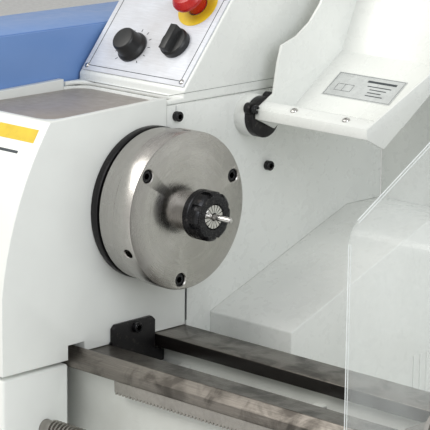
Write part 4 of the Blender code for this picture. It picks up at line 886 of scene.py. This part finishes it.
def make_guard():
    screws = bmesh.new()
    for x in (0.0144, 0.0847):
        spot, along, out = guard_point(x, (-0.0170, 0.0110), (-0.0020, 0.0170), 0.54, 0.0001)
        add_button_screw(screws, spot, out, 0.0042)
    close(screws, "guard_lip_screws", "bright steel", "guard")
    width, height = sizes().plate_width, sizes().plate_height
    spot, along, out = guard_point(-0.0084 + width / 2, HOOD[0], HOOD[1], 0.4595, 0.0)
    frame_axes = Matrix((ALONG_X, along, out)).transposed().to_4x4()
    at = Matrix.Translation(spot) @ frame_axes
    shape = bmesh.new()
    add_box(shape, (-width / 2, -height / 2, 0.0001), (width / 2, height / 2, 0.0005), 0.0001, at)
    close(shape, "rating_plate", "rating plate", "guard")
    lines = bmesh.new()

    def rule(x0, x1, y0, y1):
        add_box(lines, (x0, y0, 0.00052), (x1, y1, 0.0006), 0.0, at)
    half_w, half_h = width / 2, height / 2
    edge = 0.0004
    for y in (-half_h + 0.0012, half_h - 0.0012):
        rule(-half_w + 0.0015, half_w - 0.0015, y - edge / 2, y + edge / 2)
    for x in (-half_w + 0.0015, half_w - 0.0015):
        rule(x - edge / 2, x + edge / 2, -half_h + 0.0012, half_h - 0.0012)
    rule(-0.002, 0.037, 0.0088, 0.0118)
    for row, (start, end) in enumerate(((0.002, 0.034), (0.008, 0.030), (0.008, 0.026), (0.008, 0.031))):
        rule(start, end, 0.0030 - 0.0045 * row, 0.0042 - 0.0045 * row)
    for y in (-0.009, 0.001):
        rule(-0.036, -0.014, y, y + edge)
    for x in (-0.036, -0.026, -0.0144):
        rule(x, x + edge, -0.009, 0.001 + edge)
    close(lines, "rating_plate_lines", "plate ink", "guard")
    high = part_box("guard_flange")[1]
    ears = bmesh.new()
    reach, angle = 0.0215, math.radians(150)
    ear = (high.x + 0.0001, HINGE.y + reach * math.cos(angle), HINGE.z + reach * math.sin(angle))
    add_socket_screw(ears, ear, ALONG_X, 0.0046, 0.0046)
    close(ears, "flange_screws", "worn oxide", "guard", 30)
    turned("flange_pin", [(0, 0), (0.0026, 0), (0.0026, 0.0006), (0.0022, 0.0009), (0, 0.0009)],
           (high.x + 0.0001, HINGE.y - 0.0125, HINGE.z + 0.0045), ALONG_X, "brass", "guard", 20)


def make_rack():
    low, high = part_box("feed_rack")
    pitch = sizes().rack_pitch
    count = int((high.x - low.x) / pitch)
    shape = bmesh.new()
    ring = [(low.x, high.z)]
    for tooth in range(count):
        left = low.x + tooth * pitch
        for share, depth in ((0.12, 0.0028), (0.38, 0.0), (0.62, 0.0), (0.88, 0.0028)):
            ring.append((left + share * pitch, low.z + depth))
    ring.append((high.x, high.z))
    points = [shape.verts.new((x, low.y, z)) for x, z in ring]
    side = shape.faces.new(points)
    made = bmesh.ops.extrude_face_region(shape, geom=[side])["geom"]
    bmesh.ops.translate(shape, vec=(0, high.y - low.y, 0),
                        verts=[item for item in made if isinstance(item, bmesh.types.BMVert)])
    bmesh.ops.recalc_face_normals(shape, faces=shape.faces)
    bmesh.ops.triangulate(shape, faces=[face for face in shape.faces if len(face.verts) > 4])
    piece = close(shape, "feed_rack_toothed", "drawn steel", "machine", 20)
    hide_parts("feed_rack")


def make_leadscrew():
    low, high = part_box("leadscrew")
    radius = (high.z - low.z) / 2
    y, z = (low.y + high.y) / 2, (low.z + high.z) / 2
    start, end = WALL_X + 0.001, high.x - 0.033
    pitch = sizes().screw_pitch
    turns = int((end - start - 0.006) / pitch)
    root = radius - 0.0022
    shape = bmesh.new()
    profile = [(root, 0.0), (root, 0.30 * pitch), (radius, 0.42 * pitch), (radius, 0.80 * pitch), (root, pitch * 0.92),
               (root, pitch)]
    points = [shape.verts.new((r, 0, distance)) for r, distance in profile]
    edges = [shape.edges.new(pair) for pair in zip(points, points[1:])]
    steps = 14
    bmesh.ops.spin(shape, geom=points + edges, cent=(0, 0, 0), axis=(0, 0, 1), dvec=(0, 0, pitch / steps),
                   angle=2 * math.pi * turns, steps=steps * turns, use_duplicate=False)
    bmesh.ops.remove_doubles(shape, verts=shape.verts, dist=0.000005)
    bmesh.ops.holes_fill(shape, edges=[edge for edge in shape.edges if edge.is_boundary])
    bmesh.ops.recalc_face_normals(shape, faces=shape.faces)
    bmesh.ops.transform(shape, matrix=Matrix.Translation((start + 0.002, y, z)) @ basis(ALONG_X), verts=shape.verts)
    close(shape, "leadscrew_thread", "drawn steel", "feed_screw", 30)
    core = [(0, 0), (0.0086, 0), (0.0090, 0.0005), (0.0090, start - low.x), (0.0088, start - low.x + 0.003),
            (0.0086, end - low.x - 0.003), (0.0090, end - low.x), (0.0090, high.x - low.x - 0.001),
            (0.0080, high.x - low.x), (0, high.x - low.x)]
    piece = turned("leadscrew_core", core, (low.x, y, z), ALONG_X, "drawn steel", "feed_screw", 32)
    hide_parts("leadscrew")


def make_carriage():
    low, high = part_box("saddle")
    wipers = bmesh.new()
    for x in (low.x - 0.0030, high.x + 0.0002):
        add_box(wipers, (x, -0.0840, WAY_TOP - 0.0060), (x + 0.0028, -0.0540, low.z + 0.050), 0.0006)
        add_box(wipers, (x, 0.0120, WAY_TOP - 0.0060), (x + 0.0028, 0.0560, low.z + 0.050), 0.0006)
    close(wipers, "way_wipers", "belt rubber", "carriage")
    dial = bmesh.new()
    wheel_low, wheel_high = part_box("cross_handwheel")
    centre = Vector(((wheel_low.x + wheel_high.x) / 2, 0, (wheel_low.z + wheel_high.z) / 2))
    for tick in range(40):
        matrix = Matrix.Translation(centre) @ Matrix.Rotation(math.radians(9 * tick), 4, "Y")
        far = 0.0040 if tick % 5 == 0 else 0.0024
        add_box(dial, (-0.00022, SADDLE_FACE - 0.0042, 0.01742), (0.00022, SADDLE_FACE - 0.0042 + far, 0.01760),
                0.0, matrix)
    close(dial, "cross_dial_lines", "plate ink", "cross_wheel")
    gib = bmesh.new()
    slide_low, slide_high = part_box("cross_slide")
    for step in range(5):
        add_socket_screw(gib, (slide_high.x + 0.0001, slide_low.y + 0.020 + 0.032 * step,
                               (slide_low.z + slide_high.z) / 2), ALONG_X, 0.0026, 0.0022, 16)
    close(gib, "gib_screws", "worn oxide", "cross", 30)
    oilers = bmesh.new()
    for x in (low.x + 0.014, high.x - 0.014):
        for y in (-0.112, 0.040):
            add_turned(oilers, [(0, 0), (0.0042, 0), (0.0042, 0.0008), (0.0034, 0.0016), (0.0018, 0.0016),
                                (0, 0.0008)], (x, y, SADDLE_DECK + 0.0001), ALONG_Z, 18)
    close(oilers, "oilers", "brass", "carriage")
    apron_low, apron_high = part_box("apron")
    shield = bmesh.new()
    for x in (low.x + 0.010, low.x + 0.030, high.x - 0.030, high.x - 0.010):
        add_button_screw(shield, (x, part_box("chip_shield")[0].y - 0.0001, WAY_TOP + 0.014), -ALONG_Y, 0.0034)
    close(shield, "shield_screws", "bright steel", "carriage")
    node = bmesh.new()
    node.from_mesh(frame["nodes"]["chip_shield"].data)
    bmesh.ops.remove_doubles(node, verts=node.verts, dist=0.000002)
    bmesh.ops.dissolve_limit(node, angle_limit=math.radians(0.6), use_dissolve_boundaries=False, verts=node.verts,
                             edges=node.edges)
    # Thin near-white rods along the clear shield's edges: a painted highlight standing for the light its edges catch.
    highlight_rods = bmesh.new()
    for edge in node.edges:
        if edge.calc_length() > 0.020 and edge.calc_face_angle(0.0) > math.radians(20):
            add_rod(highlight_rods, edge.verts[0].co, edge.verts[1].co, 0.0004, 6, 0.0001)
    node.free()
    close(highlight_rods, "shield_edge_highlights", "painted edge highlight", "carriage")
    lever_low, lever_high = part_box("half_nut_lever")
    turned("half_nut_knob", [(0, 0), (0.0060, 0.0005), (0.0092, 0.0050), (0.0098, 0.0095), (0.0080, 0.0145),
                             (0.0040, 0.0170), (0, 0.0175)],
           ((lever_low.x + lever_high.x) / 2, lever_low.y + 0.0050, lever_high.z - 0.008), ALONG_Z, "black plastic",
           "nut_lever", 28)
    boss = bmesh.new()
    wheel = middle("carriage_handwheel")
    add_turned(boss, [(0.0076, 0), (0.0200, 0), (0.0200, 0.0016), (0.0190, 0.0024), (0.0076, 0.0024)],
               (wheel.x, apron_low.y - 0.0025, wheel.z), ALONG_Y, 32, True)
    close(boss, "wheel_boss", "cast enamel", "carriage")
    plugs = bmesh.new()
    for x, z in ((apron_low.x + 0.012, apron_low.z + 0.012), (apron_high.x - 0.012, apron_low.z + 0.012),
                 (apron_low.x + 0.012, apron_high.z - 0.012), (apron_high.x - 0.012, apron_high.z - 0.012)):
        add_socket_screw(plugs, (x, apron_low.y - 0.0001, z), -ALONG_Y, 0.0045, 0.0040)
    close(plugs, "apron_screws", "worn oxide", "carriage", 30)


def make_tool_screws():
    low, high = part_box("tool_post")
    centre = (low + high) / 2
    shape = bmesh.new()
    for across in (-0.014, 0.014):
        for along in (-0.021, 0.021):
            at = Vector((centre.x + along, centre.y + across, high.z))
            add_box(shape, at + Vector((-0.0036, -0.0036, 0.0001)), at + Vector((0.0036, 0.0036, 0.0060)), 0.0006)
    close(shape, "tool_clamp_screws", "worn oxide", "post")


def make_tailstock():
    low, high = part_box("tailstock_body")
    screws = bmesh.new()
    for x in (low.x + 0.020, high.x - 0.020):
        add_socket_screw(screws, (x, low.y - 0.0001, WAY_TOP + 0.018), -ALONG_Y, 0.0045, 0.0040)
    close(screws, "set_over_screws", "worn oxide", "tailstock", 30)
    marks = bmesh.new()
    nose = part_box("tailstock_quill")[0].x
    for step in range(7):
        x = nose + 0.004 + 0.0045 * step
        matrix = Matrix.Translation(Vector((0, 0, AXIS_Z))) @ Matrix.Rotation(math.radians(55), 4, "X")
        wide = 0.0032 if step % 5 == 0 else 0.0019
        add_box(marks, (x, -wide, 0.01385), (x + 0.0004, wide, 0.01405), 0.0, matrix)
    close(marks, "quill_scale", "plate ink", "quill")
    balls = (("quill_lock_lever", "quill_lever", (0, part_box("quill_lock_lever")[0].y + 0.001,
                                                  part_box("quill_lock_lever")[1].z - 0.003)),
             ("clamp_lever", "clamp", (0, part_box("clamp_lever")[1].y - 0.003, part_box("clamp_lever")[1].z - 0.003)),
             ("tool_post_lever", "post_lever", (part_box("tool_post_lever")[1].x - 0.003,
                                                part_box("tool_post_lever")[0].y + 0.004,
                                                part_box("tool_post_lever")[1].z - 0.003)))
    for node, body, at in balls:
        x = at[0] or middle(node).x
        shape = bmesh.new()
        bmesh.ops.create_uvsphere(shape, u_segments=24, v_segments=16, radius=0.0085,
                                  matrix=Matrix.Translation((x, at[1], at[2])))
        close(shape, node + "_ball", "black plastic", body, 60)


def make_end_cover():
    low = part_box("end_cover")[0]
    turned("cover_latch", [(0, 0), (0.0060, 0), (0.0060, 0.0030), (0.0130, 0.0045), (0.0140, 0.0100),
                           (0.0120, 0.0140), (0, 0.0145)],
           (low.x + 0.052, low.y - 0.0001, AXIS_Z + 0.060), -ALONG_Y, "black plastic", "side_cover",
           28)
    shape = bmesh.new()
    for row in range(6):
        z = AXIS_Z - 0.200 + 0.014 * row
        add_box(shape, (low.x - 0.0024, -0.060, z), (low.x + 0.0010, 0.060, z + 0.0050), 0.0012)
    close(shape, "cover_louvres", "blue enamel", "side_cover")


def make_back():
    low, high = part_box("electrical_cabinet")
    louvres = bmesh.new()
    for row in range(7):
        z = low.z + 0.150 + 0.012 * row
        add_box(louvres, (low.x + 0.030, high.y - 0.0010, z), (low.x + 0.130, high.y + 0.0030, z + 0.0042), 0.0012)
    close(louvres, "cabinet_louvres", "sheet enamel", "machine")
    box_low, box_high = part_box("control_box")
    spots = [(x, box_high.y + 0.0001, z) for x in (box_low.x + 0.012, box_high.x - 0.012)
             for z in (box_low.z + 0.016, box_high.z - 0.012)]
    screws = bmesh.new()
    for spot in spots:
        add_button_screw(screws, spot, ALONG_Y, 0.0036)
    guard_low, guard_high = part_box("rear_splash_guard")
    for step in range(7):
        x = guard_low.x + 0.040 + (guard_high.x - guard_low.x - 0.080) * step / 6
        add_button_screw(screws, (x, guard_high.y + 0.0001, guard_low.z + 0.020), ALONG_Y, 0.0036)
    close(screws, "back_screws", "bright steel", "machine")
    hem = bmesh.new()
    add_box(hem, (guard_low.x + 0.002, guard_low.y - 0.0065, guard_high.z - 0.0035),
            (guard_high.x - 0.002, guard_low.y + 0.0005, guard_high.z - 0.0005), 0.0010)
    close(hem, "splash_hem", "sheet enamel", "machine")
    motor_low, motor_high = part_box("motor_housing")
    slots = bmesh.new()
    for row in range(6):
        y = motor_high.y - 0.075 + 0.011 * row
        add_box(slots, (motor_high.x - 0.0004, y, motor_low.z + 0.030), (motor_high.x + 0.0016, y + 0.0040,
                                                                          motor_low.z + 0.130), 0.0008)
    close(slots, "housing_louvres", "sheet enamel", "machine")


# Stage ------------------------------------------------------------------------------------------

# The camera: its place in metres, its turn, dip and roll, and its lens in millimetres.
CAMERA_AT = Vector((1.6293, -1.6481, AXIS_Z + 0.5356))
CAMERA_TURN = math.radians(44.0)
CAMERA_DOWN = math.radians(13.105)
CAMERA_ROLL = math.radians(0.617)
CAMERA_LENS = 200.3


def add_light(name, at, aim, size, watts, tone):
    """Adds a soft area light that faces a point."""
    data = bpy.data.lights.new(name, "AREA")
    data.shape = "RECTANGLE"
    data.size, data.size_y = size
    data.energy = watts
    data.color = linear(tone)[:3]
    item = bpy.data.objects.new(name, data)
    item.location = at
    item.rotation_euler = (Vector(aim) - Vector(at)).to_track_quat("-Z", "Y").to_euler()
    bpy.context.scene.collection.objects.link(item)
    return item


def make_stage():
    shape = bmesh.new()
    bmesh.ops.create_grid(shape, x_segments=1, y_segments=1, size=4.0,
                          matrix=Matrix.Translation((0.3, 0.1, CAD_LOW.z - 0.0005)))
    floor = close(shape, "studio_floor", "floor", None)
    scene = bpy.context.scene
    world = bpy.data.worlds.new("studio")
    world.use_nodes = True
    world.node_tree.nodes["Background"].inputs[0].default_value = linear("#F5F5F3")
    world.node_tree.nodes["Background"].inputs[1].default_value = 0.62
    scene.world = world
    scene.view_settings.view_transform = "Standard"
    add_light("key_light", (-0.75, -1.60, 1.90), (0, 0, 0.35), (1.8, 1.2), sizes().key_light, "#FFFDF8")
    add_light("fill_light", (2.10, -0.70, 1.30), (0.1, 0.1, 0.35), (1.2, 1.6), sizes().fill_light, "#F6FAFF")
    forward = Vector((-math.cos(CAMERA_DOWN) * math.sin(CAMERA_TURN), math.cos(CAMERA_DOWN) * math.cos(CAMERA_TURN),
                      -math.sin(CAMERA_DOWN)))
    level = Vector((math.cos(CAMERA_TURN), math.sin(CAMERA_TURN), 0))
    upright = level.cross(forward)
    right = level * math.cos(CAMERA_ROLL) + upright * math.sin(CAMERA_ROLL)
    up = upright * math.cos(CAMERA_ROLL) - level * math.sin(CAMERA_ROLL)
    data = bpy.data.cameras.new("main_camera")
    data.lens = CAMERA_LENS
    data.sensor_width = 36.0
    data.clip_end = 20.0
    camera = bpy.data.objects.new("main_camera", data)
    camera.matrix_world = Matrix.Translation(CAMERA_AT) @ Matrix((right, up, -forward)).transposed().to_4x4()
    scene.collection.objects.link(camera)
    scene.camera = camera


# Operators and panel ----------------------------------------------------------------------------

class LATHE_OT_castings(bpy.types.Operator):
    """Finishes every solid that keeps its CAD shape, with rounded edges"""

    bl_idname = "lathe.castings"
    bl_label = "Castings and sheet metal"

    def execute(self, context):
        make_castings()
        return {"FINISHED"}


class LATHE_OT_backplate(bpy.types.Operator):
    """Turns the plate behind the collet chuck"""

    bl_idname = "lathe.backplate"
    bl_label = "Chuck backplate"

    def execute(self, context):
        make_backplate()
        return {"FINISHED"}


class LATHE_OT_chuck(bpy.types.Operator):
    """Turns the chuck's body and drills its screw and key holes"""

    bl_idname = "lathe.chuck"
    bl_label = "Collet chuck"

    def execute(self, context):
        make_chuck()
        return {"FINISHED"}


class LATHE_OT_nut(bpy.types.Operator):
    """Turns the nut and cuts its spanner notches"""

    bl_idname = "lathe.nut"
    bl_label = "Collet nut"

    def execute(self, context):
        make_nut()
        return {"FINISHED"}


class LATHE_OT_collet(bpy.types.Operator):
    """Makes the collet's jaws with the slits between them"""

    bl_idname = "lathe.collet"
    bl_label = "Collet"

    def execute(self, context):
        make_collet()
        return {"FINISHED"}


class LATHE_OT_rod(bpy.types.Operator):
    """Makes the bright rod held in the collet"""

    bl_idname = "lathe.rod"
    bl_label = "Gauge rod"

    def execute(self, context):
        make_rod()
        return {"FINISHED"}


class LATHE_OT_head_marks(bpy.types.Operator):
    """Lays a plain band of film on the headstock"""

    bl_idname = "lathe.head_marks"
    bl_label = "Headstock film"

    def execute(self, context):
        make_head_marks()
        return {"FINISHED"}


class LATHE_OT_wall_screws(bpy.types.Operator):
    """Puts the screws in the cabinet and the bed bracket"""

    bl_idname = "lathe.wall_screws"
    bl_label = "Wall screws"

    def execute(self, context):
        make_wall_screws()
        return {"FINISHED"}


class LATHE_OT_panel(bpy.types.Operator):
    """Adds the panel's border, ticks and screws"""

    bl_idname = "lathe.panel"
    bl_label = "Control panel"

    def execute(self, context):
        make_panel()
        return {"FINISHED"}


class LATHE_OT_guard(bpy.types.Operator):
    """Adds the guard's plate and screws"""

    bl_idname = "lathe.guard"
    bl_label = "Chuck guard fittings"

    def execute(self, context):
        make_guard()
        return {"FINISHED"}


class LATHE_OT_rack(bpy.types.Operator):
    """Cuts the rack's teeth"""

    bl_idname = "lathe.rack"
    bl_label = "Feed rack"

    def execute(self, context):
        make_rack()
        return {"FINISHED"}


class LATHE_OT_leadscrew(bpy.types.Operator):
    """Cuts the leadscrew's thread"""

    bl_idname = "lathe.leadscrew"
    bl_label = "Leadscrew"

    def execute(self, context):
        make_leadscrew()
        return {"FINISHED"}


class LATHE_OT_carriage(bpy.types.Operator):
    """Adds wipers, screws, oilers and dial lines"""

    bl_idname = "lathe.carriage"
    bl_label = "Carriage fittings"

    def execute(self, context):
        make_carriage()
        return {"FINISHED"}


class LATHE_OT_tool_screws(bpy.types.Operator):
    """Adds the tool post's clamp screws"""

    bl_idname = "lathe.tool_screws"
    bl_label = "Tool post screws"

    def execute(self, context):
        make_tool_screws()
        return {"FINISHED"}


class LATHE_OT_tailstock(bpy.types.Operator):
    """Adds the tailstock's screws, scale and lever balls"""

    bl_idname = "lathe.tailstock"
    bl_label = "Tailstock fittings"

    def execute(self, context):
        make_tailstock()
        return {"FINISHED"}


class LATHE_OT_end_cover(bpy.types.Operator):
    """Adds the end cover's latch and louvres"""

    bl_idname = "lathe.end_cover"
    bl_label = "End cover fittings"

    def execute(self, context):
        make_end_cover()
        return {"FINISHED"}


class LATHE_OT_back(bpy.types.Operator):
    """Adds louvres and screws behind the lathe"""

    bl_idname = "lathe.back"
    bl_label = "Rear sheet metal"

    def execute(self, context):
        make_back()
        return {"FINISHED"}


class LATHE_OT_stage(bpy.types.Operator):
    """Adds the floor, lights and camera"""

    bl_idname = "lathe.stage"
    bl_label = "Studio"

    def execute(self, context):
        make_stage()
        return {"FINISHED"}


# In the order they run.
OPERATORS = (
    LATHE_OT_castings, LATHE_OT_backplate, LATHE_OT_chuck, LATHE_OT_nut, LATHE_OT_collet,
    LATHE_OT_rod, LATHE_OT_head_marks, LATHE_OT_wall_screws, LATHE_OT_panel, LATHE_OT_guard,
    LATHE_OT_rack, LATHE_OT_leadscrew, LATHE_OT_carriage, LATHE_OT_tool_screws,
    LATHE_OT_tailstock, LATHE_OT_end_cover, LATHE_OT_back, LATHE_OT_stage,
)


class LATHE_PT_pieces(bpy.types.Panel):
    """Lists the lathe's pieces, colours and sizes."""

    bl_label = "Lathe"
    bl_idname = "LATHE_PT_pieces"
    bl_space_type = "VIEW_3D"
    bl_region_type = "UI"
    bl_category = "Lathe"

    def draw(self, context):
        for group in (colours(), sizes()):
            for key in group.__annotations__:
                self.layout.prop(group, key)
        for operator in OPERATORS:
            self.layout.operator(operator.bl_idname)


CLASSES = (LatheColours, LatheSizes, *OPERATORS, LATHE_PT_pieces)


def register():
    for item in CLASSES:
        bpy.utils.register_class(item)
    bpy.types.Scene.lathe_colours = bpy.props.PointerProperty(type=LatheColours)
    bpy.types.Scene.lathe_sizes = bpy.props.PointerProperty(type=LatheSizes)


def unregister():
    del bpy.types.Scene.lathe_sizes
    del bpy.types.Scene.lathe_colours
    for item in reversed(CLASSES):
        bpy.utils.unregister_class(item)


def main():
    register()
    for operator in OPERATORS:
        getattr(bpy.ops.lathe, operator.bl_idname.partition(".")[2])()


if __name__ == "__main__":
    main()
